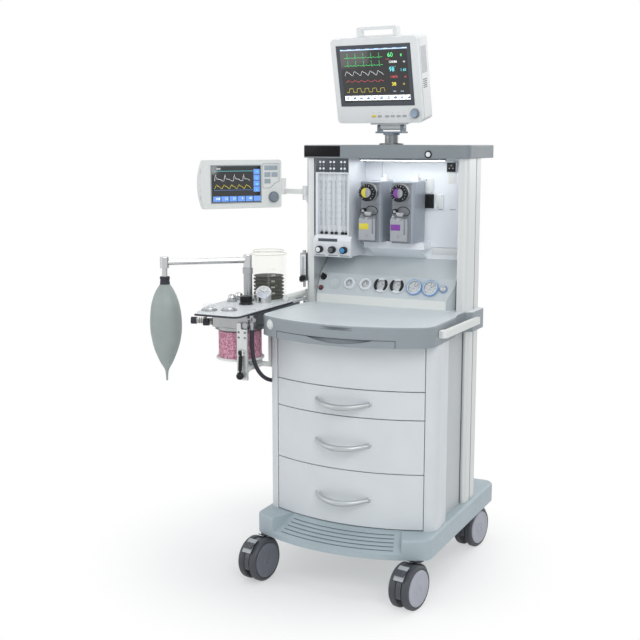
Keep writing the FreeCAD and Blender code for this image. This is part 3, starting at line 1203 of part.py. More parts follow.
def route_path(points):
    """Straight runs joined by tangent arcs, each as large as its two runs allow."""
    pts = [V(*p) for p in points]
    edges, here = [], pts[0]
    for a, b, c in zip(pts, pts[1:], pts[2:]):
        u, w = (b - a), (c - b)
        turn = u.getAngle(w)
        reach = 0.45 * min(u.Length, w.Length)
        radius = reach / math.tan(turn / 2)
        u.normalize()
        w.normalize()
        p, q = b - u * reach, b + w * reach
        middle = (w - u)
        middle.normalize()
        centre = b + middle * math.hypot(radius, reach)
        mid = centre - middle * radius
        edges += [Part.LineSegment(here, p).toShape(), Part.Arc(p, mid, q).toShape()]
        print("hose bend radius %.0f mm, turn %.1f deg" % (radius, math.degrees(turn)))
        here = q
    edges.append(Part.LineSegment(here, pts[-1]).toShape())
    return Part.Wire(edges)


def breathing_hose():
    """Black hose from the side fitting down to the socket on the cabinet's left side."""
    path = route_path(HOSE_ROUTE)
    start = V(*HOSE_ROUTE[0])
    ring = Part.Wire([Part.makeCircle(HOSE_R, start, V(*HOSE_ROUTE[1]) - start)])
    tube = path.makePipeShell([ring], True, True)
    print("hose length %.0f mm, volume %.0f, section x length %.0f"
          % (path.Length, tube.Volume, path.Length * math.pi * HOSE_R ** 2))
    return tube


def hose_socket():
    """Socket on the cabinet's left side that the hose runs into."""
    x, y, z = HOSE_ROUTE[-1]
    body = rod(10.5, (x, y, z), (x, y + 26, z)).fuse(Part.makeSphere(10.5, V(x, y + 26, z)))
    return body.fuse(rod(10.5, (x, y + 26, z), (-SIDE_IN - SIDE_T, y + 26, z)))


# ---------------------------------------------------------------- assembly
def lamp_switch():
    """Round rocker in the shelf's front edge."""
    cap = lathe([(0, -10), (LAMP_R, -10), (LAMP_R, 3), (LAMP_R - 1.5, 4.5), (0, 4.5)])
    return aim(cap, (LAMP_X, SHELF_FRONT, LAMP_Z), (0, -1, 0))


def build():
    """All nodes by name, in the machine's frame."""
    nodes = {"base_moulding": base_moulding()}
    casters(nodes)
    nodes["cabinet_shell"] = group(cabinet_shell(), hose_socket())
    for name, (z0, z1) in zip(("drawer_lower", "drawer_middle", "drawer_upper"), drawer_levels()):
        nodes[name] = drawer(z0, z1)
    nodes["drawer_runners"] = drawer_runners()
    nodes["column_left"] = column_left()
    nodes["column_right"] = column_right()
    nodes["top_shelf"] = top_shelf()
    nodes["lamp_switch"] = lamp_switch()
    nodes["back_wall"] = group(back_wall(), vaporizer_rail())
    nodes["work_top"] = work_top()
    nodes["flush_button"] = flush_button()
    nodes["writing_tray"] = writing_tray()
    nodes["push_rail"] = push_rail()
    nodes["gauge_console"] = gauge_console()
    nodes["gauges"] = gauge_cases()
    nodes["selector_switch"] = selector_switch()
    nodes["console_button"] = console_button()
    nodes["flowmeter_block"] = flowmeter_block()
    nodes["flowmeter_tubes"] = flowmeter_tubes()
    for name, x in zip(("left", "middle", "right"), FLOW_KNOB_X):
        nodes["flow_knob_" + name] = flow_knob(x)
    for name, x in zip(("left", "right"), VAP_X):
        nodes["vaporizer_" + name] = vaporizer(x)
        nodes["vaporizer_dial_" + name] = vaporizer_dial(x)
    nodes["auxiliary_flowmeter"] = auxiliary_flowmeter()
    nodes["monitor_post"] = monitor_post()
    nodes["monitor_head"] = monitor_head()
    nodes["monitor_housing"] = monitor_housing()
    nodes["monitor_knob"] = monitor_knob()
    nodes["display_arm"] = display_arm()
    nodes["display_housing"] = display_housing()
    nodes["display_knob"] = display_knob()
    nodes["absorber_bracket"] = absorber_bracket()
    nodes["manifold_plate"] = manifold_plate()
    nodes["breathing_manifold"] = breathing_manifold()
    nodes["valves_and_gauge"] = instruments()
    nodes["apl_knob"] = apl_knob()
    nodes["bellows"] = bellows()
    nodes["bellows_dome"] = bellows_dome()
    nodes["canister"] = canister()
    nodes["absorbent"] = absorbent()
    nodes["canister_clamp"] = canister_clamp()
    nodes["clamp_lever"] = clamp_lever()
    nodes["bag_arm"] = bag_arm()
    nodes["breathing_bag"] = breathing_bag()
    nodes["breathing_hose"] = breathing_hose()
    return nodes


def origin_shift(nodes):
    """Move that puts the origin at the middle of the box at floor level, the hose left out."""
    whole = FreeCAD.BoundBox()
    for name, shape in nodes.items():
        if name != "breathing_hose":
            whole.add(shape.BoundBox)
    return V(-whole.Center.x, -whole.Center.y, -whole.ZMin)


NODES = build()
SHIFT = origin_shift(NODES)
os.makedirs("parts", exist_ok=True)
for node, shape in NODES.items():
    shape.translated(SHIFT).exportStep("parts/%s.step" % node)
print("%d nodes, origin moved by %s" % (len(NODES), tuple(round(v, 3) for v in SHIFT)))
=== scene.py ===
"""Anesthesia machine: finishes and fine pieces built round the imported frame.

Sizes are millimetres in the machine's own axes (X to its right, Y to its back, Z up, floor at 0,
plane of symmetry at X = 0) until Seat.matrix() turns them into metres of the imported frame.
"""
import logging
import math
from dataclasses import dataclass, field
from enum import Enum
from typing import Callable, Iterable, Sequence

import bpy
from mathutils import Matrix, Vector


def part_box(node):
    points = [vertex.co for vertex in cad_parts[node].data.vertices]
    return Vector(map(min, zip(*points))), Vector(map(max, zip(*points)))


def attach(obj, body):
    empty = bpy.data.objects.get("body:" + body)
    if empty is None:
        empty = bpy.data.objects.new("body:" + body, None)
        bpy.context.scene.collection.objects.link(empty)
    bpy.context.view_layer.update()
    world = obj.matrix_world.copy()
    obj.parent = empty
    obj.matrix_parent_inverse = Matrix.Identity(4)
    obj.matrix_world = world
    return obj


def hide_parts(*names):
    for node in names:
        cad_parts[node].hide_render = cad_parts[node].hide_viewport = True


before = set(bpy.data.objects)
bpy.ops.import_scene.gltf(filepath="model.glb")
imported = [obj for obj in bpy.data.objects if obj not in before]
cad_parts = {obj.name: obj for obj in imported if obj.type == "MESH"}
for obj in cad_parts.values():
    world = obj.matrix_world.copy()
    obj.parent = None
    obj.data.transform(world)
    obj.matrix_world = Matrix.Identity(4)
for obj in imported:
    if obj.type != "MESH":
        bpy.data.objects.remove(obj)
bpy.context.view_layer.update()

log = logging.getLogger("anesthesia_machine")
MM = 0.001
Colour = tuple[float, float, float]
Point = tuple[float, float, float]
Feeds = dict[str | int, object]

BASE_FRONT = -481.0
base_low, base_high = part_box("base_moulding")
MACHINE_ORIGIN = Vector((0.5 * (base_low[0] + base_high[0]), base_low[1] - BASE_FRONT * MM, 0.0))


# ---------------------------------------------------------------- seats
@dataclass(frozen=True)
class Seat:
    """A place on the machine with its own axes: x to the right, y up the face, z out of it."""

    origin: Point
    right: Point = (1.0, 0.0, 0.0)
    up: Point = (0.0, 0.0, 1.0)

    def matrix(self) -> Matrix:
        """Matrix from this seat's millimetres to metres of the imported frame."""
        right = Vector(self.right).normalized()
        out = right.cross(Vector(self.up)).normalized()
        up = out.cross(right)
        turn = Matrix((right, up, out)).transposed().to_4x4()
        place = MACHINE_ORIGIN + Vector(self.origin) * MM
        return Matrix.Translation(place) @ turn @ Matrix.Scale(MM, 4)

    def moved(self, x: float, y: float, z: float = 0.0) -> "Seat":
        """The same axes with the origin moved along them."""
        right = Vector(self.right).normalized()
        out = right.cross(Vector(self.up)).normalized()
        up = out.cross(right)
        return Seat(tuple(Vector(self.origin) + right * x + up * y + out * z), self.right, self.up)


FLOOR = Seat((0.0, 0.0, 0.0), (1, 0, 0), (0, 1, 0))
MONITOR_PAN = -4.0
MONITOR_LEAN = 12.5
CASTER_PAN = -10.0
DRAWER_BOW = 632.0
BAG_NECK = (-669.0, -379.0)
PORT_Z = 836.0
PLATE_Z = 884.0


def facing_front(x: float, y: float, z: float) -> Seat:
    """Seat on a face that looks at the operator."""
    return Seat((x, y, z))


def toward(origin: Point, direction: Point) -> Seat:
    """Seat whose outward axis looks along a level direction."""
    return Seat(origin, tuple(Vector((0, 0, 1)).cross(Vector(direction))), (0, 0, 1))


def facing_up(x: float, y: float, z: float) -> Seat:
    """Seat on a level face."""
    return Seat((x, y, z), (1, 0, 0), (0, 1, 0))


# ---------------------------------------------------------------- finishes
GLOSS_SPREAD = 0.07
GRAIN_DEPTH = 0.0008


def add_node(tree: bpy.types.NodeTree, kind: str, feeds: Feeds | None = None,
             **settings: object) -> bpy.types.Node:
    """A new shader node.

    Args:
        tree: the nodes it joins.
        kind: its type, without the leading ShaderNode.
        feeds: for each input, by name or number, its value or the socket that feeds it.
        settings: its own properties.

    Returns:
        The node.
    """
    node = tree.nodes.new("ShaderNode" + kind)
    for name, value in settings.items():
        setattr(node, name, value)
    feed(tree, node, feeds or {})
    return node


def feed(tree: bpy.types.NodeTree, node: bpy.types.Node, feeds: Feeds) -> None:
    """Sets inputs of a node, or links them when a socket is given."""
    for key, value in feeds.items():
        if isinstance(value, bpy.types.NodeSocket):
            tree.links.new(value, node.inputs[key])
        else:
            node.inputs[key].default_value = value


@dataclass(frozen=True)
class Finish:
    """A surface finish: its colour, its gloss, and the fine grain and soiling that break it up."""

    name: str
    colour: Colour
    slot: str
    roughness: float = 0.5
    metallic: float = 0.0
    mottle: float = 0.05
    mottle_scale: float = 9.0
    grain: float = 0.05
    grain_scale: float = 900.0
    edge: float = 0.0012
    coat: float = 0.0
    stretch: Point = (1.0, 1.0, 1.0)
    specular: float = 0.5

    def material(self) -> bpy.types.Material:
        """The finish's material, made once."""
        ready = bpy.data.materials.get(self.name)
        if ready:
            return ready
        mat = bpy.data.materials.new(self.name)
        mat.use_nodes = True
        tree = mat.node_tree
        shader = tree.nodes["Principled BSDF"]
        feed(tree, shader, {"Metallic": self.metallic, "Coat Weight": self.coat, "Coat Roughness": 0.12,
                            "Specular IOR Level": self.specular})
        coords = add_node(tree, "TexCoord")
        grid = add_node(tree, "Mapping", {"Scale": self.stretch, "Vector": coords.outputs["Object"]})
        self.dress(tree, shader, grid)
        return mat

    @staticmethod
    def noise(tree: bpy.types.NodeTree, grid: bpy.types.Node, scale: float,
              detail: float = 3.0) -> bpy.types.NodeSocket:
        """A noise texture on the object's coordinates.

        Args:
            tree: the material's nodes.
            grid: the Mapping node that feeds it.
            scale: features per metre.
            detail: octaves.

        Returns:
            The noise's level.
        """
        node = add_node(tree, "TexNoise", {"Scale": scale, "Detail": detail,
                                           "Vector": grid.outputs["Vector"]})
        return node.outputs["Fac"]

    def dress(self, tree: bpy.types.NodeTree, shader: bpy.types.Node, grid: bpy.types.Node) -> None:
        """Colour mottling, gloss variation, fine grain and softened edges."""
        self.tint(tree, shader, self.noise(tree, grid, self.mottle_scale))
        gloss = add_node(tree, "MapRange", {"Value": self.noise(tree, grid, self.mottle_scale * 2.3),
                                            "To Min": max(0.02, self.roughness - GLOSS_SPREAD),
                                            "To Max": min(1.0, self.roughness + GLOSS_SPREAD)})
        feed(tree, shader, {"Roughness": gloss.outputs["Result"]})
        self.roughen(tree, shader, self.noise(tree, grid, self.grain_scale, 2.0))

    def tint(self, tree: bpy.types.NodeTree, shader: bpy.types.Node, factor: bpy.types.NodeSocket) -> None:
        """Base colour that wanders between a darker and a lighter shade."""
        ramp = add_node(tree, "ValToRGB", {"Fac": factor})
        low, high = ramp.color_ramp.elements
        low.position, high.position = 0.3, 0.7
        low.color = (*[c * (1 - self.mottle) for c in self.colour], 1)
        high.color = (*[min(1.0, c * (1 + self.mottle)) for c in self.colour], 1)
        feed(tree, shader, {"Base Color": ramp.outputs["Color"]})

    def roughen(self, tree: bpy.types.NodeTree, shader: bpy.types.Node, height: bpy.types.NodeSocket) -> None:
        """Bump from a height, over edges that are rounded by the edge radius."""
        bump = add_node(tree, "Bump", {"Strength": self.grain, "Distance": GRAIN_DEPTH, "Height": height})
        if self.edge:
            soft = add_node(tree, "Bevel", {"Radius": self.edge}, samples=4)
            feed(tree, bump, {"Normal": soft.outputs["Normal"]})
        feed(tree, shader, {"Normal": bump.outputs["Normal"]})


@dataclass(frozen=True)
class ClearFinish(Finish):
    """Clear moulded plastic or glass."""

    clearness: float = 0.9
    ior: float = 1.46

    def dress(self, tree: bpy.types.NodeTree, shader: bpy.types.Node, grid: bpy.types.Node) -> None:
        """Transmission with a faint tint, and a see-through share so that what stands inside shows."""
        Finish.dress(self, tree, shader, grid)
        feed(tree, shader, {"Transmission Weight": 0.25, "IOR": self.ior, "Alpha": 1.0 - self.clearness})


@dataclass(frozen=True)
class GranuleFinish(Finish):
    """Packed absorbent granules, each a slightly different shade."""

    grain_size: float = 0.0036
    second: Colour = (0.9, 0.7, 0.74)

    def dress(self, tree: bpy.types.NodeTree, shader: bpy.types.Node, grid: bpy.types.Node) -> None:
        """Voronoi cells give every granule its shade and its rounded top."""
        cells = add_node(tree, "TexVoronoi", {"Scale": 1.0 / self.grain_size,
                                              "Vector": grid.outputs["Vector"]})
        mix = tree.nodes.new("ShaderNodeMix")
        mix.data_type = "RGBA"
        mix.inputs["A"].default_value = (*self.colour, 1)
        mix.inputs["B"].default_value = (*self.second, 1)
        split = add_node(tree, "SeparateColor", {"Color": cells.outputs["Color"]})
        tree.links.new(split.outputs["Red"], mix.inputs["Factor"])
        feed(tree, shader, {"Base Color": mix.outputs["Result"], "Roughness": self.roughness})
        self.roughen(tree, shader, cells.outputs["Distance"])


@dataclass(frozen=True)
class GlowFinish(Finish):
    """Lit glass of a display or a lamp."""

    glow: float = 0.9

    def dress(self, tree: bpy.types.NodeTree, shader: bpy.types.Node, grid: bpy.types.Node) -> None:
        """Emission of the finish's own colour over a dark glossy base."""
        Finish.dress(self, tree, shader, grid)
        feed(tree, shader, {"Emission Color": (*self.colour, 1), "Emission Strength": self.glow})


WHITE_PANEL = Finish("satin_white_powder_coat", (0.70, 0.735, 0.755), "white_panel", 0.42, mottle=0.02,
                     grain=0.06, grain_scale=1500)
BAY_WHITE = Finish("bay_white_enamel", (0.88, 0.91, 0.95), "white_panel", 0.38, mottle=0.02, grain=0.04)
WORK_GREY = Finish("work_top_grey", (0.29, 0.33, 0.355), "blue_grey_moulding", 0.45, mottle=0.03, grain=0.22,
                   grain_scale=1200)
WORK_LIGHT = Finish("work_top_face", (0.64, 0.695, 0.715), "blue_grey_moulding", 0.4, mottle=0.02, grain=0.05,
                    grain_scale=1200)
BASE_GREY = Finish("base_grey", (0.42, 0.50, 0.535), "blue_grey_moulding", 0.5, mottle=0.04, grain=0.25,
                   grain_scale=1000)
LIGHT_MOULDING = Finish("light_grey_moulding", (0.66, 0.70, 0.71), "light_grey_moulding", 0.45, mottle=0.02,
                        grain=0.15, grain_scale=1300)
CONSOLE_GREY = Finish("console_grey", (0.56, 0.61, 0.63), "light_grey_moulding", 0.42,
                      mottle=0.02, grain=0.12)
MONITOR_WHITE = Finish("monitor_white", (0.80, 0.82, 0.82), "light_grey_moulding", 0.42, mottle=0.02,
                       grain=0.12, grain_scale=1400)
FLOW_WHITE = Finish("flow_panel_white", (0.80, 0.83, 0.87), "light_grey_moulding", 0.35,
                    mottle=0.02, grain=0.03)
ANODISED = Finish("satin_anodised", (0.66, 0.68, 0.68), "anodised", 0.38, 0.55, mottle=0.03, grain=0.08,
                  stretch=(8.0, 8.0, 0.15), grain_scale=700)
VAPORIZER_GREY = Finish("vaporizer_grey", (0.38, 0.415, 0.47), "anodised", 0.36, 0.25,
                        mottle=0.05, grain=0.08)
DARK_PLASTIC = Finish("black_plastic", (0.010, 0.011, 0.013), "dark_plastic", 0.36, mottle=0.15, grain=0.10,
                      specular=0.25)
KNOB_GREY = Finish("knob_blue_grey", (0.22, 0.26, 0.31), "dark_plastic", 0.4, mottle=0.06, grain=0.1)
CASTER_DARK = Finish("caster_dark_grey", (0.060, 0.066, 0.080), "caster_grey", 0.28, mottle=0.08, grain=0.08)
CASTER_LIGHT = Finish("caster_disc_lavender", (0.42, 0.43, 0.49), "caster_grey", 0.4, mottle=0.05, grain=0.08)
TYRE = Finish("tread_grey", (0.055, 0.06, 0.07), "tyre_grey", 0.5, mottle=0.12, grain=0.2)
STEEL = Finish("polished_steel", (0.56, 0.57, 0.58), "steel", 0.2, 1.0, mottle=0.04, grain=0.02)
SATIN_STEEL = Finish("satin_steel", (0.40, 0.41, 0.42), "steel", 0.3, 0.9, mottle=0.05, grain=0.08,
                     stretch=(6, 6, 0.3))
BLACK_RUBBER = Finish("black_rubber", (0.012, 0.012, 0.014), "black_rubber", 0.45, mottle=0.2, grain=0.2,
                      specular=0.3)
BAG_RUBBER = Finish("grey_green_rubber", (0.335, 0.385, 0.37), "bag_rubber", 0.48, mottle=0.05,
                    mottle_scale=22, grain=0.18, grain_scale=500)
CLEAR = ClearFinish("clear_plastic", (0.90, 0.92, 0.62), "clear", 0.06, mottle=0.01, grain=0.0, edge=0.0,
                    clearness=0.95)
CANISTER_CLEAR = ClearFinish("canister_plastic", (0.96, 0.97, 0.97), "clear", 0.05, mottle=0.01, grain=0.0,
                             edge=0.0, clearness=0.955)
GLASS = ClearFinish("tube_glass", (0.85, 0.9, 0.92), "clear", 0.06, mottle=0.01, grain=0.0, edge=0.0,
                    clearness=0.88)
SCREEN_BLACK = Finish("screen_black", (0.006, 0.007, 0.009), "dark_plastic", 0.12, mottle=0.1, grain=0.0,
                      coat=0.6, edge=0.0)
GRANULES = GranuleFinish("pink_granules", (0.36, 0.09, 0.17), "granules", 0.75, grain=1.0, grain_size=0.0048,
                         second=(0.80, 0.40, 0.52))
HANDLE_SILVER = Finish("handle_silver", (0.50, 0.53, 0.54), "anodised", 0.33, 0.35, mottle=0.03, grain=0.06)
BRASSY = Finish("plated_brass", (0.24, 0.235, 0.17), "steel", 0.3, 0.85, mottle=0.06, grain=0.05)
# painted shade: a darker copy of the wheel disc finish, for the caster that stands away from the lamps
CASTER_DISC_SHADE = Finish("caster_disc_painted_shade", (0.13, 0.14, 0.17), "caster_grey", 0.4, mottle=0.05, grain=0.08)
SHELF_GREY = Finish("shelf_grey", (0.225, 0.258, 0.275), "blue_grey_moulding", 0.5, mottle=0.03, grain=0.22,
                    grain_scale=1100)
POST_STEEL = Finish("post_steel", (0.20, 0.21, 0.22), "steel", 0.3, 0.9, mottle=0.05, grain=0.08,
                    stretch=(6, 6, 0.3))
GRIP_GREY = Finish("grip_grey", (0.40, 0.42, 0.45), "anodised", 0.4, 0.1, mottle=0.04, grain=0.05)
LENS = ClearFinish("dial_lens", (0.97, 0.98, 0.98), "clear", 0.05, mottle=0.01, grain=0.0, edge=0.0,
                   clearness=0.9)
# painted shade: a darker copy of the vaporizer grey for the body's front faces, which get less light than its
# sides
VAPORIZER_FRONT_SHADE = Finish("vaporizer_front", (0.22, 0.24, 0.265), "anodised", 0.36, 0.3,
                         mottle=0.05, grain=0.08)
FILLER_SILVER = Finish("filler_silver", (0.38, 0.40, 0.43), "anodised", 0.32, 0.3, mottle=0.04, grain=0.06)
DIAL_FACE = Finish("dial_face_grey", (0.62, 0.66, 0.68), "gauge_white", 0.5, mottle=0.02, grain=0.0, edge=0.0)
# painted shade for the recessed side panels of the cabinet
PANEL_SHADE = Finish("side_panel_painted_shade", (0.54, 0.57, 0.58), "white_panel", 0.42, mottle=0.02, grain=0.06)
# painted shadow for the corners at the ends of the recessed side panels
JOINT_SHADOW = Finish("panel_joint", (0.10, 0.11, 0.12), "dark_plastic", 0.8, grain=0.0, edge=0.0)
DOME_EDGE = Finish("dome_edge", (0.42, 0.43, 0.30), "clear", 0.3, mottle=0.02, grain=0.0, edge=0.0)
# painted shade for the sloped inner ring of the gauge bezels
CONE_SHADE = Finish("dial_cone_painted_shade", (0.34, 0.37, 0.39), "gauge_white", 0.5, mottle=0.02, grain=0.0, edge=0.0)
DIAL_WHITE = Finish("dial_white", (0.82, 0.85, 0.88), "gauge_white", 0.4, mottle=0.02, grain=0.0, edge=0.0)
PRINT_BLACK = Finish("print_black", (0.03, 0.03, 0.035), "dark_plastic", 0.5, mottle=0.1, grain=0.0, edge=0.0)
BEZEL_BLUE = Finish("bezel_blue", (0.24, 0.40, 0.66), "gauge_white", 0.3, mottle=0.04, grain=0.05)
VENT_SHADOW = Finish("vent_shadow", (0.32, 0.34, 0.35), "light_grey_moulding", 0.7, edge=0.0)
# painted shadow for the speaker grille's slots
GRILLE_SHADOW = Finish("grille_dark", (0.10, 0.11, 0.12), "dark_plastic", 0.7, edge=0.0)
SEAM_GREY = Finish("seam_grey", (0.30, 0.31, 0.32), "light_grey_moulding", 0.7, edge=0.0)
ICON_BLUE = Finish("icon_blue", (0.05, 0.16, 0.36), "gauge_white", 0.4, grain=0.0, edge=0.0)
BEZEL_CHARCOAL = Finish("bezel_charcoal", (0.055, 0.065, 0.08), "dark_plastic", 0.38, grain=0.1)
KNOB_CAP_BLUE = Finish("knob_cap_blue", (0.33, 0.42, 0.53), "dark_plastic", 0.32)
KEY_YELLOW = Finish("key_yellow", (0.78, 0.62, 0.05), "dark_plastic", 0.4)
KEY_GREY = Finish("key_grey", (0.42, 0.44, 0.46), "dark_plastic", 0.42)
PRINT_DARK_BLUE = Finish("print_dark_blue", (0.06, 0.08, 0.13), "dark_plastic", 0.5, edge=0.0)
KEY_PALE_BLUE = Finish("key_pale_blue", (0.36, 0.42, 0.47), "dark_plastic", 0.4)
LIP_GREY = Finish("lip_grey", (0.30, 0.33, 0.36), "light_grey_moulding", 0.45)
SCALE_WHITE = Finish("scale_white", (0.86, 0.88, 0.84), "gauge_white", 0.5, mottle=0.01, grain=0.0, edge=0.0)
PRINT_RED = Finish("print_red", (0.55, 0.04, 0.04), "gauge_white", 0.5, grain=0.0, edge=0.0)
RIM_SHADOW = Finish("rim_shadow", (0.34, 0.37, 0.38), "light_grey_moulding", 0.5, edge=0.0)
HEADER_BLUE_BLACK = Finish("header_blue_black", (0.045, 0.056, 0.07), "dark_plastic", 0.35, grain=0.05,
                           mottle=0.08)
SCALE_INK = Finish("scale_ink", (0.10, 0.15, 0.17), "dark_plastic", 0.5, grain=0.0, edge=0.0)
STRIP_BLUE_BLACK = Finish("strip_blue_black", (0.06, 0.075, 0.09), "dark_plastic", 0.4, grain=0.03)
LINE_GREY = Finish("line_grey", (0.30, 0.33, 0.36), "light_grey_moulding", 0.5, edge=0.0)
SIGHT_GLASS = Finish("sight_glass", (0.20, 0.24, 0.28), "clear", 0.1, grain=0.0, coat=0.5)
LINE_DARK = Finish("line_dark", (0.13, 0.14, 0.16), "dark_plastic", 0.5, edge=0.0)
SEAM_SHADOW = Finish("seam_shadow", (0.22, 0.24, 0.26), "light_grey_moulding", 0.6, edge=0.0)
PLATE_BLACK = Finish("plate_black", (0.008, 0.008, 0.010), "dark_plastic", 0.3, mottle=0.1, grain=0.05,
                     specular=0.15)
LAMP_GLOW = GlowFinish("lamp_glow", (1.0, 1.0, 1.0), "clear", 0.4, grain=0.0, edge=0.0, glow=13.0)
# painted shadow for the grooves between the base step's ribs
GROOVE_SHADOW = Finish("groove_shadow", (0.12, 0.16, 0.18), "blue_grey_moulding", 0.7, edge=0.0)
TRAY_SHADOW = Finish("joint_shadow", (0.035, 0.04, 0.05), "dark_plastic", 0.8, grain=0.0, edge=0.0)
# painted highlight: a lighter glossy band that stands in for the shine on the casters' dark hoods
CASTER_HOOD_HIGHLIGHT = Finish("caster_window", (0.40, 0.43, 0.45), "caster_grey", 0.25, mottle=0.05, grain=0.03)


class Ink(Enum):
    """Colours of the displays' traces and figures."""

    GREEN = (0.10, 0.80, 0.22)
    WHITE = (0.85, 0.88, 0.88)
    CYAN = (0.15, 0.70, 0.75)
    RED = (0.75, 0.10, 0.12)
    YELLOW = (0.80, 0.68, 0.08)
    BLUE = (0.10, 0.22, 0.55)
    PALE_BLUE = (0.45, 0.60, 0.80)

    def finish(self) -> GlowFinish:
        """Glowing finish of this colour."""
        return GlowFinish("trace_" + self.name.lower(), self.value, "gauge_white", 0.4, mottle=0.02,
                          grain=0.0, edge=0.0)


# ---------------------------------------------------------------- bench
def arc(radius: float, angles: Iterable[float], z: float | None = None) -> list[tuple[float, ...]]:
    """Places on a circle about a seat's axis.

    Args:
        radius: radius of the circle.
        angles: where they are, in radians.
        z: their height; without it they are flat (x, y) places.

    Returns:
        One place for each angle.
    """
    tail = () if z is None else (z,)
    return [(radius * math.cos(a), radius * math.sin(a), *tail) for a in angles]


def degrees(start: int, stop: int, step: int) -> list[float]:
    """Angles, in radians, for a range given in degrees."""
    return [math.radians(a) for a in range(start, stop, step)]


class Bench:
    """Modelling by hand: primitives shaped in edit mode, then settled on the machine."""

    @staticmethod
    def clear() -> None:
        """Leaves edit mode with nothing selected."""
        if bpy.context.object and bpy.context.object.mode != "OBJECT":
            bpy.ops.object.mode_set(mode="OBJECT")
        bpy.ops.object.select_all(action="DESELECT")

    @staticmethod
    def pick(obj: bpy.types.Object, where: Callable[[Vector], bool], mode: str = "EDGE") -> None:
        """Selects, in edit mode, the faces or edges of obj that lie in one place.

        Args:
            obj: the active mesh object, in object mode.
            where: test of an element's vertices; all of them have to pass.
            mode: "EDGE" or "FACE".
        """
        mesh = obj.data
        for group in (mesh.vertices, mesh.edges, mesh.polygons):
            group.foreach_set("select", [False] * len(group))
        for element in mesh.edges if mode == "EDGE" else mesh.polygons:
            if all(where(mesh.vertices[i].co) for i in element.vertices):
                element.select = True
        bpy.ops.object.mode_set(mode="EDIT")
        bpy.ops.mesh.select_mode(type=mode)
        bpy.ops.object.mode_set(mode="OBJECT")
        for element in mesh.edges if mode == "EDGE" else mesh.polygons:
            element.select = all(where(mesh.vertices[i].co) for i in element.vertices)
        bpy.ops.object.mode_set(mode="EDIT")

    @staticmethod
    def turned(profile: Sequence[tuple[float, float]], sides: int = 40) -> bpy.types.Object:
        """Turned piece about z: a disc that is extruded and resized from step to step.

        Args:
            profile: (radius, height) steps, the first is the foot.
            sides: facets round the axis.

        Returns:
            The new mesh object, in object mode.
        """
        Bench.clear()
        radius, height = profile[0]
        bpy.ops.mesh.primitive_circle_add(vertices=sides, radius=radius, fill_type="NGON", location=(0, 0, 0))
        obj = bpy.context.object
        obj.data.transform(Matrix.Translation((0, 0, height)))
        bpy.ops.object.mode_set(mode="EDIT")
        bpy.ops.mesh.select_all(action="SELECT")
        for r, z in profile[1:]:
            bpy.ops.mesh.extrude_region_move(TRANSFORM_OT_translate={"value": (0, 0, z - height)})
            share = max(r, 0.02) / radius
            bpy.ops.transform.resize(value=(share, share, 1), center_override=(0, 0, z))
            radius, height = max(r, 0.02), z
        bpy.ops.mesh.select_all(action="SELECT")
        bpy.ops.mesh.normals_make_consistent(inside=False)
        bpy.ops.object.mode_set(mode="OBJECT")
        return obj

    @staticmethod
    def block(low: Point, high: Point, bevel: float = 1.0, segments: int = 2) -> bpy.types.Object:
        """Box between two corners with rounded edges."""
        Bench.clear()
        size = [b - a for a, b in zip(low, high)]
        bpy.ops.mesh.primitive_cube_add(size=1, location=[(a + b) / 2 for a, b in zip(low, high)])
        obj = bpy.context.object
        obj.scale = size
        bpy.ops.object.transform_apply(location=True, rotation=True, scale=True)
        if bevel:
            bpy.ops.object.mode_set(mode="EDIT")
            bpy.ops.mesh.select_all(action="SELECT")
            bpy.ops.mesh.bevel(offset=min(bevel, 0.45 * min(size)), segments=segments, affect="EDGES")
            bpy.ops.object.mode_set(mode="OBJECT")
        return obj

    @staticmethod
    def outline(points: Sequence[tuple[float, float]], low: float, high: float,
                rim: float = 0.0) -> bpy.types.Object:
        """Flat piece cut to an outline in the seat's x-y plane.

        Args:
            points: the outline, anticlockwise.
            low: height of its underside.
            high: height of its top.
            rim: bevel round its top edge.

        Returns:
            The new mesh object.
        """
        Bench.clear()
        bpy.ops.mesh.primitive_circle_add(vertices=len(points), radius=1, fill_type="NGON",
                                          location=(0, 0, 0))
        obj = bpy.context.object
        for vertex, (x, y) in zip(obj.data.vertices, points):
            vertex.co = (x, y, low)
        bpy.ops.object.mode_set(mode="EDIT")
        bpy.ops.mesh.select_all(action="SELECT")
        bpy.ops.mesh.extrude_region_move(TRANSFORM_OT_translate={"value": (0, 0, high - low)})
        bpy.ops.mesh.select_all(action="SELECT")
        bpy.ops.mesh.normals_make_consistent(inside=False)
        bpy.ops.object.mode_set(mode="OBJECT")
        if rim:
            Bench.pick(obj, lambda p: abs(p.z - high) < 1e-4)
            bpy.ops.mesh.bevel(offset=rim, segments=2, affect="EDGES")
            bpy.ops.object.mode_set(mode="OBJECT")
        return obj

    @staticmethod
    def curve(name: str, points: Sequence[Sequence[float]], radius: float, sides: int,
              steps: int = 0) -> bpy.types.Object:
        """Round cord that is still a curve.

        Args:
            name: name of the curve and of its object.
            points: (x, y, z) places, or (x, y, z, share of the radius).
            radius: half its thickness.
            sides: how finely its section is rounded.
            steps: 0 for straight runs from place to place; otherwise the places are the control
                points of a smooth curve with this many steps between them.

        Returns:
            The curve object.
        """
        Bench.clear()
        curve = bpy.data.curves.new(name, "CURVE")
        curve.dimensions = "3D"
        curve.bevel_depth = radius
        curve.bevel_resolution = sides
        curve.use_fill_caps = True
        spline = curve.splines.new("NURBS" if steps else "POLY")
        spline.points.add(len(points) - 1)
        for knot, (x, y, z, *share) in zip(spline.points, points):
            knot.co = (x, y, z, 1)
            knot.radius = share[0] if share else 1.0
        if steps:
            curve.resolution_u = steps
            spline.order_u = 3
            spline.use_endpoint_u = True
        obj = bpy.data.objects.new(name, curve)
        bpy.context.collection.objects.link(obj)
        return obj

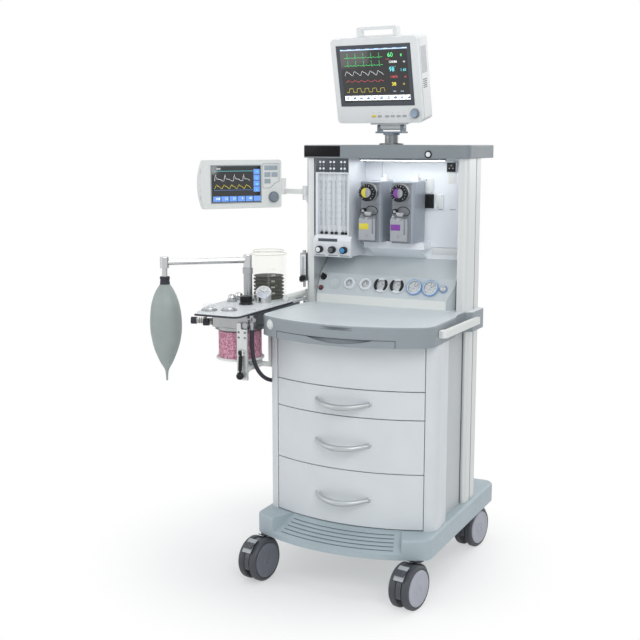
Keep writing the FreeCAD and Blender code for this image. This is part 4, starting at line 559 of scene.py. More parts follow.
    @staticmethod
    def wire(points: Sequence[Point], radius: float, closed: bool = False,
             sides: int = 1) -> bpy.types.Object:
        """Round wire through points."""
        obj = Bench.curve("wire", points, radius, sides)
        obj.data.splines[0].use_cyclic_u = closed
        return Bench.meshed(obj)

    @staticmethod
    def tapered_wire(points: Sequence[tuple[float, float, float, float]]) -> bpy.types.Object:
        """Round bar through (x, y, z, radius) points."""
        return Bench.meshed(Bench.curve("tapered_wire", points, 1.0, 4))

    @staticmethod
    def smooth_wire(points: Sequence[Point], radius: float) -> bpy.types.Object:
        """Round wire on a smooth curve drawn by its control points."""
        return Bench.meshed(Bench.curve("smooth_wire", points, radius, 2, 6))

    @staticmethod
    def figures(words: str, size: float, x: float, y: float, z: float = 0.0,
                thick: float = 0.12) -> bpy.types.Object:
        """Raised figures centred on a point."""
        Bench.clear()
        bpy.ops.object.text_add(location=(0, 0, 0))
        obj = bpy.context.object
        obj.data.body = words
        obj.data.size = size
        obj.data.extrude = thick
        obj.data.resolution_u = 2
        obj.data.align_x = "CENTER"
        obj.data.align_y = "CENTER"
        obj = Bench.meshed(obj)
        obj.data.transform(Matrix.Translation((x, y, z)))
        return obj

    @staticmethod
    def meshed(obj: bpy.types.Object) -> bpy.types.Object:
        """A curve or text turned into a mesh."""
        Bench.clear()
        obj.select_set(True)
        bpy.context.view_layer.objects.active = obj
        bpy.ops.object.convert(target="MESH")
        return bpy.context.object

    @staticmethod
    def shift(obj: bpy.types.Object, x: float = 0.0, y: float = 0.0, z: float = 0.0,
              turn: float = 0.0) -> bpy.types.Object:
        """Turns obj's mesh about z by degrees, then moves it."""
        obj.data.transform(Matrix.Translation((x, y, z)) @ Matrix.Rotation(math.radians(turn), 4, "Z"))
        return obj

    @staticmethod
    def copy(obj: bpy.types.Object) -> bpy.types.Object:
        """A copy with its own mesh."""
        twin = obj.copy()
        twin.data = obj.data.copy()
        bpy.context.collection.objects.link(twin)
        return twin

    @staticmethod
    def ring_of(obj: bpy.types.Object, count: int, start: float = 0.0,
                step: float | None = None) -> bpy.types.Object:
        """count copies of obj turned about z and joined.

        Args:
            obj: the pattern piece, which is used up.
            count: how many.
            start: angle of the first, in degrees.
            step: degrees between them; a full circle is shared out when it is None.

        Returns:
            The joined object.
        """
        step = 360.0 / count if step is None else step
        several = [Bench.shift(Bench.copy(obj), turn=start + i * step) for i in range(count)]
        bpy.data.objects.remove(obj)
        return Bench.joined(several)

    @staticmethod
    def screw(radius: float) -> bpy.types.Object:
        """Low pan head with a hexagon socket."""
        return Bench.turned([(radius, -0.2), (radius, 0.35 * radius), (0.8 * radius, 0.6 * radius),
                             (0.5 * radius, 0.62 * radius), (0.45 * radius, 0.2 * radius),
                             (0.0, 0.2 * radius)], 18)

    @staticmethod
    def mirror_x(obj: bpy.types.Object) -> bpy.types.Object:
        """Mirrors obj's mesh left to right and turns its faces outwards again."""
        obj.data.transform(Matrix.Scale(-1, 4, (1, 0, 0)))
        obj.data.flip_normals()
        return obj

    @staticmethod
    def spread(pattern: bpy.types.Object, places: Iterable[tuple[float, float, float]]) -> bpy.types.Object:
        """Copies of a pattern piece at (x, y, turn in degrees) places, joined.

        Args:
            pattern: the piece to repeat, which is used up.
            places: where the copies go.

        Returns:
            The joined object.
        """
        several = [Bench.shift(Bench.copy(pattern), x, y, turn=turn) for x, y, turn in places]
        bpy.data.objects.remove(pattern)
        return Bench.joined(several)

    @staticmethod
    def joined(several: Iterable[bpy.types.Object]) -> bpy.types.Object:
        """Several meshes made one."""
        several = list(several)
        Bench.clear()
        for obj in several:
            obj.select_set(True)
        bpy.context.view_layer.objects.active = several[0]
        if len(several) > 1:
            bpy.ops.object.join()
        return bpy.context.object

    @staticmethod
    def settle(pieces: bpy.types.Object | list[bpy.types.Object], name: str, seat: Seat, finish: Finish,
               body: str = "frame", smooth: float = 35.0) -> bpy.types.Object:
        """Sets a finished piece in its place on the machine and lets it ride on a body.

        Args:
            pieces: mesh in the seat's millimetres, or a list of meshes that become one.
            name: the piece's name.
            seat: where it goes.
            finish: its finish.
            body: the CAD body that carries it.
            smooth: edges flatter than this many degrees are shaded smooth.

        Returns:
            The piece.
        """
        obj = Bench.joined(pieces) if isinstance(pieces, list) else pieces
        Bench.clear()
        obj.data.transform(obj.matrix_world)
        obj.matrix_world = Matrix.Identity(4)
        obj.data.transform(seat.matrix())
        obj.name = name
        obj.data.name = name
        obj.data.materials.clear()
        obj.data.materials.append(finish.material())
        obj.select_set(True)
        bpy.context.view_layer.objects.active = obj
        bpy.ops.object.shade_smooth_by_angle(angle=math.radians(smooth))
        Bench.clear()
        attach(obj, body)
        log.info("%s on %s", name, body)
        return obj


# ---------------------------------------------------------------- carried-over nodes
NODE_FINISHES: dict[str, Finish] = {
    "base_moulding": BASE_GREY, "cabinet_shell": WHITE_PANEL, "drawer_lower": WHITE_PANEL,
                                    "drawer_middle": WHITE_PANEL,
    "drawer_upper": WHITE_PANEL, "drawer_runners": ANODISED, "column_left": ANODISED,
                                    "column_right": ANODISED,
    "top_shelf": SHELF_GREY, "lamp_switch": DIAL_WHITE, "back_wall": BAY_WHITE, "work_top": WORK_GREY,
    "flush_button": LIGHT_MOULDING, "writing_tray": WORK_GREY, "push_rail": LIGHT_MOULDING,
    "gauge_console": CONSOLE_GREY, "gauges": DIAL_WHITE, "selector_switch": DARK_PLASTIC,
    "console_button": Finish("button_dark_red", (0.16, 0.02, 0.03), "dark_plastic", 0.3, grain=0.03),
    "flowmeter_block": FLOW_WHITE, "flowmeter_tubes": GLASS, "auxiliary_flowmeter": SATIN_STEEL,
    "monitor_post": POST_STEEL, "monitor_head": KNOB_GREY, "monitor_housing": MONITOR_WHITE,
                                    "monitor_knob": KNOB_GREY,
    "display_arm": LIGHT_MOULDING, "display_housing": LIGHT_MOULDING, "display_knob": KNOB_GREY,
    "absorber_bracket": LIGHT_MOULDING, "manifold_plate": WHITE_PANEL, "breathing_manifold": SATIN_STEEL,
    "valves_and_gauge": STEEL, "apl_knob": DARK_PLASTIC, "bellows_dome": CLEAR, "canister": CANISTER_CLEAR,
    "absorbent": GRANULES, "canister_clamp": ANODISED, "clamp_lever": DARK_PLASTIC, "bag_arm": STEEL,
    "bellows": BLACK_RUBBER, "breathing_bag": BAG_RUBBER, "breathing_hose": BLACK_RUBBER,
}
PREFIX_FINISHES: dict[str, Finish] = {
    "caster_fork": CASTER_DARK, "caster_wheels": TYRE, "caster_brake": CASTER_DARK, "flow_knob": DARK_PLASTIC,
    "vaporizer_dial": SATIN_STEEL, "vaporizer": VAPORIZER_GREY,
}


def dress_nodes() -> None:
    """Gives every carried-over CAD node its finish."""
    Bench.clear()
    for name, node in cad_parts.items():
        finish = NODE_FINISHES.get(name)
        if finish is None:
            finish = next(f for prefix, f in PREFIX_FINISHES.items() if name.startswith(prefix))
        node.data.materials.clear()
        node.data.materials.append(finish.material())
        log.info("%s finished in %s", name, finish.name)


# ---------------------------------------------------------------- studio
@dataclass
class Studio:
    """Pale floor, soft lamps and the camera."""

    eye: Point = (1421.1, -3449.6, 1431.4)
    turn: float = 26.0960
    dip: float = 9.3006
    lens: float = 61.4
    shadow_reach: float = 0.40
    shadow_lift: float = 0.42

    def build(self) -> None:
        """Makes the floor, the lamps, the world and the camera."""
        self.floor()
        self.lamps()
        self.world()
        data = bpy.data.cameras.new("studio_camera")
        data.lens = self.lens
        data.sensor_width = 36.0
        camera = bpy.data.objects.new("studio_camera", data)
        bpy.context.scene.collection.objects.link(camera)
        camera.location = MACHINE_ORIGIN + Vector(self.eye) * MM
        camera.rotation_euler = (math.radians(90 - self.dip), 0, math.radians(self.turn))
        bpy.context.scene.camera = camera
        bpy.context.scene.view_settings.view_transform = "Standard"

    def floor(self) -> None:
        """White floor: it keeps the machine's soft shadow and fades to plain white away from it."""
        Bench.clear()
        bpy.ops.mesh.primitive_plane_add(size=60, location=(0, 0, 0))
        ground = bpy.context.object
        ground.name = "studio_floor"
        mat = bpy.data.materials.new("studio_floor")
        mat.use_nodes = True
        tree = mat.node_tree
        shader = tree.nodes["Principled BSDF"]
        feed(tree, shader, {"Base Color": (0.93, 0.93, 0.93, 1), "Roughness": 0.9})
        plain = add_node(tree, "Emission", {"Color": (1, 1, 1, 1)})
        place = add_node(tree, "NewGeometry")
        reach = add_node(tree, "VectorMath", {0: place.outputs["Position"]}, operation="LENGTH")
        fade = add_node(tree, "MapRange", {"From Min": self.shadow_reach, "From Max": 2.2 * self.shadow_reach,
                                           "To Min": self.shadow_lift, "Value": reach.outputs["Value"]},
                        interpolation_type="SMOOTHSTEP")
        share = add_node(tree, "Math", {0: fade.outputs["Result"], 1: self.seen_directly(tree)},
                         operation="MULTIPLY")
        self.blend(tree, share.outputs[0], shader, plain, "Material Output")
        ground.data.materials.append(mat)

    @staticmethod
    def seen_directly(tree: bpy.types.NodeTree) -> bpy.types.NodeSocket:
        """1 for rays from the eye, from a mirror or through glass, 0 for those that light the object."""
        path = add_node(tree, "LightPath")
        either = path.outputs["Is Camera Ray"]
        for kind in ("Is Glossy Ray", "Is Transmission Ray"):
            either = add_node(tree, "Math", {0: either, 1: path.outputs[kind]},
                              operation="MAXIMUM").outputs[0]
        return either

    @staticmethod
    def blend(tree: bpy.types.NodeTree, share: bpy.types.NodeSocket, first: bpy.types.Node,
              second: bpy.types.Node, out: str) -> None:
        """Sends a mix of two shaders to the output node."""
        mix = add_node(tree, "MixShader", {0: share, 1: first.outputs[0], 2: second.outputs[0]})
        feed(tree, tree.nodes[out], {"Surface": mix.outputs[0]})

    def lamps(self) -> None:
        """A broad key from the right front, a fill from the left, a soft top light and one behind."""
        for name, place, target, size, watts in (
            ("key", (2.6, -3.4, 3.4), (0.0, 0.0, 0.9), 2.6, 85.0),
            ("fill", (-3.4, -2.6, 2.2), (0.0, 0.0, 0.9), 3.0, 38.0),
            ("top", (0.0, 0.4, 4.2), (0.0, 0.0, 0.9), 3.0, 48.0),
            ("rear", (1.5, 3.6, 2.6), (0.0, 0.0, 0.9), 2.6, 40.0),
        ):
            data = bpy.data.lights.new("lamp_" + name, "AREA")
            data.size = size
            data.energy = watts
            lamp = bpy.data.objects.new("lamp_" + name, data)
            bpy.context.scene.collection.objects.link(lamp)
            lamp.location = place
            lamp.rotation_euler = (Vector(target) - Vector(place)).to_track_quat("-Z", "Y").to_euler()

    def world(self) -> None:
        """Even surroundings, white where the camera or a mirror sees them."""
        world = bpy.data.worlds.new("studio_world")
        bpy.context.scene.world = world
        world.use_nodes = True
        tree = world.node_tree
        shade = tree.nodes["Background"]
        feed(tree, shade, {"Color": (0.93, 0.96, 1.0, 1), "Strength": 0.42})
        plain = add_node(tree, "Background", {"Color": (1, 1, 1, 1), "Strength": 1.0})
        self.blend(tree, self.seen_directly(tree), shade, plain, "World Output")


# ---------------------------------------------------------------- breathing hose
@dataclass
class BreathingHose:
    """Black hose from the manifold's fitting round to the socket on the cabinet's side."""

    route: tuple[Point, ...] = (
        (-322.0, -395.0, 824.0), (-322.0, -395.5, 796.0), (-321.5, -396.0, 762.0), (-320.0, -391.0, 726.0),
        (-317.0, -376.0, 693.0), (-313.0, -351.0, 665.0), (-309.0, -318.0, 645.0), (-306.0, -281.0, 634.0),
        (-304.5, -244.0, 630.0), (-304.5, -212.0, 630.0))
    radius: float = 6.8
    length: float = 318.0

    def build(self) -> None:
        """The hose as one smooth curve with its ends in their seats."""
        route = [MACHINE_ORIGIN + Vector(place) * MM for place in self.route]
        hose = Bench.curve("breathing_hose_cord", route, self.radius * MM, 6, 12)
        hose.data.materials.append(BLACK_RUBBER.material())
        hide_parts("breathing_hose")
        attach(hose, "frame")
        log.info("hose of %d mm", self.length)


# ---------------------------------------------------------------- painted faces
def paint(node: str, finish: Finish, where: Callable[[Vector, Vector], bool]) -> None:
    """Gives some faces of a carried-over node another finish.

    Args:
        node: the CAD node.
        finish: the finish of the chosen faces.
        where: test of a face's middle, in machine millimetres, and its normal.
    """
    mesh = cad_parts[node].data
    mesh.materials.append(finish.material())
    index = len(mesh.materials) - 1
    for face in mesh.polygons:
        if where((face.center - MACHINE_ORIGIN) / MM, face.normal):
            face.material_index = index


# ---------------------------------------------------------------- displays
@dataclass
class Trace:
    """One curve on a display: its ink, its place and one period of its form."""

    ink: Ink
    left: float
    right: float
    level: float
    height: float
    beats: int
    form: tuple[tuple[float, float], ...]

    def points(self) -> list[Point]:
        """The curve's points on the screen, in millimetres."""
        pitch = (self.right - self.left) / self.beats
        return [(self.left + (i + t) * pitch, self.level + h * self.height, 0.0) for i in range(self.beats)
                for t, h in self.form]


PULSE = ((0.0, 0.0), (0.22, 0.02), (0.30, 0.12), (0.36, 0.0), (0.42, -0.08), (0.46, 1.0), (0.50, -0.16),
         (0.55, 0.0), (0.70, 0.05), (0.78, 0.2), (0.88, 0.02))
BREATH = ((0.0, 0.0), (0.12, 0.55), (0.25, 1.0), (0.36, 0.72), (0.44, 0.60), (0.52, 0.66), (0.75, 0.25),
          (0.9, 0.02))
SQUARE = ((0.0, 0.0), (0.30, 0.0), (0.34, 0.85), (0.42, 0.96), (0.80, 1.0), (0.86, 0.05))
RIPPLE = ((0.0, 0.0), (0.25, 0.5), (0.4, 0.9), (0.6, 0.45), (0.8, 0.1))
SURGE = ((0.0, 0.0), (0.06, 0.7), (0.12, 1.0), (0.2, 0.4), (0.34, 0.32), (0.6, 0.26), (0.8, 0.05))


@dataclass
class Screen:
    """Everything lit on one display, on a glass pane let into its housing."""

    title: str
    body: str
    seat: Seat
    left: float
    right: float
    bottom: float
    top: float
    traces: tuple[Trace, ...]
    figures: tuple[tuple[Ink, str, float, float, float], ...]
    bars: tuple[tuple[Ink, float, float, float, float], ...]
    rise: float = 0.35

    def build(self) -> None:
        """The pane, then one piece for each ink."""
        pane = Bench.block((self.left, self.bottom, -2.6), (self.right, self.top, 0.0), 0.6)
        Bench.settle(pane, self.title + "_pane", self.seat, SCREEN_BLACK, self.body)
        for ink in Ink:
            lit = [Bench.wire(t.points(), 0.42) for t in self.traces if t.ink is ink]
            lit += [Bench.figures(words, size, x, y) for i, words, size, x, y in self.figures if i is ink]
            lit += [Bench.block((x0, y0, -0.1), (x1, y1, 0.1), 0.0) for i, x0, y0, x1,
                    y1 in self.bars if i is ink]
            if lit:
                piece = Bench.shift(Bench.joined(lit), z=self.rise)
                Bench.settle(piece, "%s_%s" % (self.title, ink.name.lower()), self.seat,
                             ink.finish(), self.body)


def tilted(x: float, y: float, z: float) -> Point:
    """A direction of the monitor's own axes (right, back, up) in the machine's."""
    pan = Matrix.Rotation(math.radians(MONITOR_PAN), 3, "Z")
    lean = Matrix.Rotation(math.radians(MONITOR_LEAN), 3, "X")
    return tuple(pan @ lean @ Vector((x, y, z)))


@dataclass
class Monitor:
    """Patient monitor: screen, its frame, keys, knob, side vents, speaker slots and joint line."""

    centre: Point = (-57.0, -4.0, 1631.0)
    half_width: float = 161.0
    half_height: float = 142.0
    screen_box: tuple[float, float, float, float] = (-142.0, 136.0, -84.0, 120.0)

    @property
    def seat(self) -> Seat:
        """The front face."""
        return Seat(self.centre, tilted(1, 0, 0), tilted(0, 0, 1))

    def build(self) -> None:
        """All pieces of the monitor."""
        self.screen()
        self.bezel()
        self.keys()
        self.knob()
        self.sides()
        self.seams()

    def screen(self) -> None:
        """Screen with its traces, figures and the two white bars."""
        x0, x1, y0, y1 = self.screen_box
        glass_left, glass_right = x0 + 20, x1 - 14
        wave_right = glass_right - 88
        traces = (
            Trace(Ink.GREEN, glass_left + 8, wave_right, 78, 16, 5, PULSE),
            Trace(Ink.GREEN, glass_left + 8, wave_right, 52, 17, 5, PULSE),
            Trace(Ink.WHITE, glass_left + 6, wave_right, 20, 15, 5, BREATH),
            Trace(Ink.RED, glass_left + 8, wave_right, -2, 7, 6, RIPPLE),
            Trace(Ink.YELLOW, glass_left + 8, wave_right, -36, 13, 5, SQUARE),
        )
        x = wave_right + 20
        figures = (
            (Ink.GREEN, "60", 21, x + 6, 84), (Ink.GREEN, "8", 13, x + 46, 82),
            (Ink.WHITE, "120/80", 11, x + 14, 61), (Ink.WHITE, "93", 8, x + 55, 60),
            (Ink.CYAN, "98", 20, x + 8, 36), (Ink.CYAN, "1 60", 12, x + 50, 34),
            (Ink.RED, "118/76", 10, x + 14, 12), (Ink.RED, "88", 7, x + 56, 11),
            (Ink.YELLOW, "38", 17, x + 12, -12), (Ink.YELLOW, "12", 8, x + 48, -12),
            (Ink.PALE_BLUE, "36.8", 6, x + 40, -36), (Ink.PALE_BLUE, "37.0", 6, x + 12, -36),
        )
        bars = [(Ink.PALE_BLUE, glass_left - 4, 103, glass_right + 2, 113)]
        bars += [(Ink.WHITE, glass_left - 2 + i * 25.6, -64, glass_left + 22 + i * 25.6, -48)
                 for i in range(10)]
        bars += [(Ink.RED, wave_right + 8, 70.4, wave_right + 22, 71.2), (Ink.CYAN, x, 45.6, x + 24, 46.2)]
        Screen("monitor_screen", "monitor", self.seat, x0 + 0.4, x1 - 0.4, y0 + 0.4, y1 - 0.4, traces,
               figures, tuple(bars)).build()
        icons = []
        for i in range(10):
            xc = glass_left + 10 + i * 25.6
            icons.append(Bench.block((xc - 5 - i % 3, -60, 0.3), (xc + 3 + i % 4, -56 + i % 2, 0.62), 0.0))
            icons.append(Bench.block((xc - 2, -54, 0.3), (xc + 5, -51.5, 0.62), 0.0))
        icons += [Bench.block((glass_left + 4 + i * 34, 106, 0.3), (glass_left + 22 + i * 34, 109.5, 0.62),
                              0.0) for i in range(7)]
        Bench.settle(icons, "monitor_screen_icons", self.seat, ICON_BLUE, "monitor")

    def bezel(self) -> None:
        """Raised dark frame round the screen with a sloped inner edge."""
        x0, x1, y0, y1 = self.screen_box
        frame_piece = Bench.block((x0 + 0.6, y0 + 0.6, -2.0), (x1 - 0.6, y1 - 0.6, 1.0), 0.0)
        Bench.pick(frame_piece, lambda p: p.z > 0.9, "FACE")
        bpy.ops.mesh.inset(thickness=11.0)
        bpy.ops.mesh.inset(thickness=4.5, depth=-2.0)
        bpy.ops.mesh.delete(type="FACE")
        bpy.ops.object.mode_set(mode="OBJECT")
        Bench.settle(frame_piece, "monitor_screen_frame", self.seat, BEZEL_CHARCOAL, "monitor")

    def keys(self) -> None:
        """Row of six keys with their lamps under the screen, the first key yellow."""
        y = -self.half_height + 24
        for i, x in enumerate((-20.0, 2.0, 30.0, 51.0, 73.0, 95.0)):
            key = Bench.block((x - 7.5, y - 4.2, -0.5), (x + 7.5, y + 3.4, 1.6), 1.1)
            lamp = Bench.shift(Bench.turned([(1.0, 0.0), (1.0, 0.5)], 12), x, y + 12)
            name = "monitor_key_%d" % (i + 1)
            Bench.settle(key, name, self.seat, KEY_GREY if i else KEY_YELLOW, "monitor")
            Bench.settle(lamp, name + "_lamp", self.seat, KNOB_GREY, "monitor")

    def knob(self) -> None:
        """Ribbed skirt and dished cap over the turn knob."""
        seat = self.seat.moved(self.half_width - 26, -self.half_height + 32)
        rib = Bench.block((-0.7, 14.6, 0.6), (0.7, 15.7, 5.0), 0.3)
        Bench.settle(Bench.ring_of(rib, 30), "monitor_knob_ribs", seat, KNOB_GREY, "monitor_knob")
        cap = Bench.turned([(11.6, 12.6), (11.8, 13.6), (10.6, 14.0), (9.4, 13.5), (2.0, 13.1),
                            (0.0, 13.1)], 40)
        Bench.settle(cap, "monitor_knob_cap", seat, KNOB_CAP_BLUE, "monitor_knob")
        ring = Bench.turned([(20.5, -0.2), (20.5, 0.7), (19.6, 1.1), (17.6, 1.1), (16.9, 0.4),
                             (16.9, -0.2)], 48)
        Bench.settle(ring, "monitor_knob_surround", seat, LIGHT_MOULDING, "monitor")

    def sides(self) -> None:
        """Vent slots high on both sides and a short speaker grille below them, drawn as bars painted in the
        slots' shadow.
        """
        out = self.half_width
        vents = [((24.0 + i * 7.0, 16.0), (26.6 + i * 7.0, 104.0)) for i in range(6)]
        grille = [((26.0, -6.0 - i * 6.5), (56.0, -3.2 - i * 6.5)) for i in range(5)]
        for side, hand in ((-1, "left"), (1, "right")):
            seat = Seat(self.centre, tilted(0, side, 0), tilted(0, 0, 1))
            # painted shadow: vent and grille slots are dark bars on the shell
            for title, boxes, finish in (("vents", vents, VENT_SHADOW), ("grille", grille, GRILLE_SHADOW)):
                bars = [Bench.block((*low, out - 0.4), (*high, out + 0.25), 0.12) for low, high in boxes]
                bars = [bar if side > 0 else Bench.mirror_x(bar) for bar in bars]
                Bench.settle(bars, "monitor_%s_%s" % (title, hand), seat, finish, "monitor")

    def seams(self) -> None:
        """Joint line between the front frame and the rear shell."""
        w, h = self.half_width, self.half_height
        r = 14.0
        corner = [(w - r + r * math.cos(a), h - r + r * math.sin(a)) for a in (0, 0.39, 0.79, 1.18, 1.57)]
        loop = corner + [(-x, y) for x, y in reversed(corner)]
        loop += [(-x, -y) for x, y in corner] + [(x, -y) for x, y in reversed(corner)]
        line = Bench.wire([(x, y, -16.0) for x, y in loop], 0.55, closed=True)
        Bench.settle(line, "monitor_front_seam", self.seat, SEAM_GREY, "monitor")


@dataclass
class VentilatorDisplay:
    """Display on the swing arm: screen, keypad, knob and joint line."""

    joint: tuple[float, float] = (-412.0, -9.0)
    height_z: float = 1284.0
    pan: float = 52.0
    width: float = 298.0
    height: float = 166.0
    depth: float = 44.0
    barrel: float = 13.0
    screen_box: tuple[float, float, float, float] = (-112.0, 69.0, -61.0, 63.0)

    @property
    def seat(self) -> Seat:
        """The front face."""
        a = math.radians(self.pan)
        along, back = Vector((math.cos(a), math.sin(a), 0)), Vector((-math.sin(a), math.cos(a), 0))
        middle = Vector((*self.joint, self.height_z)) - along * (self.width / 2 + self.barrel + 1)
        middle -= back * (self.depth / 2)
        return Seat(tuple(middle), tuple(along), (0, 0, 1))

    def build(self) -> None:
        """All pieces of the display."""
        x0, x1, y0, y1 = self.screen_box
        left, right = x0 + 5, x1 - 26
        traces = (
            Trace(Ink.WHITE, left + 6, right - 6, 12, 22, 4, SURGE),
            Trace(Ink.YELLOW, left + 6, right - 6, -14, 14, 5, BREATH),
            Trace(Ink.CYAN, left + 4, right - 2, 46, 1.0, 1, ((0.0, 0.0), (1.0, 0.0))),
            Trace(Ink.BLUE, left + 4, right - 2, -19, 1.0, 1, ((0.0, 0.0), (1.0, 0.0))),
        )
        figures = tuple((Ink.WHITE, words, 10, left + 18 + i * 30, -48)
                        for i, words in enumerate(("600", "12", "21", "5", "40")))
        figures += ((Ink.CYAN, "14", 9, x1 - 14, 44), (Ink.CYAN, "1:2", 8, x1 - 14, 22),
                    (Ink.CYAN, "38", 9, x1 - 14, 0), (Ink.CYAN, "4", 9, x1 - 14, -20),
                    (Ink.WHITE, "16:40", 7, left + 20, 54))
        bars = [(Ink.BLUE, x1 - 26, 14 + i * 20 - 40, x1 - 3, 32 + i * 20 - 40) for i in range(4)]
        bars += [(Ink.BLUE, left + i * 30, -58, left + 27 + i * 30, -40) for i in range(6)]
        Screen("display_screen", "display", self.seat, x0 + 0.4, x1 - 0.4, y0 + 0.4, y1 - 0.4, traces,
               figures, tuple(bars), rise=0.25).build()
        self.keypad()
        self.knob()
        self.shell_lines()

    def keypad(self) -> None:
        """Membrane pad with one wide key over two short ones, and a notched outline round the knob."""
        border = [(78.0, 70.0), (140.0, 70.0), (140.0, 8.0), (124.0, 2.0), (106.0, -14.0), (78.0, -14.0)]
        line = Bench.wire([(x, y, 0.1) for x, y in border], 0.7, closed=True)
        Bench.settle(line, "display_keypad_outline", self.seat, PRINT_DARK_BLUE, "display")
        pads = [Bench.block((84, 48, 0.0), (134, 64, 1.0), 0.9),
                Bench.block((84, 24, 0.0), (107, 41, 1.0), 0.9),
                Bench.block((111, 24, 0.0), (134, 41, 1.0), 0.9),
                Bench.block((84, 2, 0.0), (107, 18, 1.0), 0.9)]
        Bench.settle(pads, "display_keys", self.seat, KEY_PALE_BLUE, "display")

    def knob(self) -> None:
        """Flutes round the turn knob."""
        seat = self.seat.moved(self.width / 2 - 32, -self.height / 2 + 38)
        rib = Bench.block((-1.0, 17.4, 1.0), (1.0, 18.6, 12.0), 0.4)
        Bench.settle(Bench.ring_of(rib, 24), "display_knob_ribs", seat, KNOB_GREY, "display_knob")

    def shell_lines(self) -> None:
        """Joint line round the housing and a raised lip round the screen."""
        x0, x1, y0, y1 = self.screen_box
        lip = Bench.block((x0 - 3.5, y0 - 3.5, -0.5), (x1 + 3.5, y1 + 3.5, 1.2), 0.0)
        Bench.pick(lip, lambda p: p.z > 1.0, "FACE")
        bpy.ops.mesh.inset(thickness=3.2)
        bpy.ops.mesh.inset(thickness=0.8, depth=-1.4)
        bpy.ops.mesh.delete(type="FACE")
        bpy.ops.object.mode_set(mode="OBJECT")
        Bench.settle(lip, "display_screen_lip", self.seat, LIP_GREY, "display")
        w, h = self.width / 2, self.height / 2
        loop = [(-w + 14, -h), (w - 4, -h), (w, -h + 4), (w, h - 4), (w - 4, h), (-w + 14, h),
                (-w + 2, 0.55 * h), (-w - 2, 0.0), (-w + 2, -0.55 * h)]
        line = Bench.wire([(x, y, -15.0) for x, y in loop], 0.45, closed=True)
        Bench.settle(line, "display_seam", self.seat, SEAM_GREY, "display")


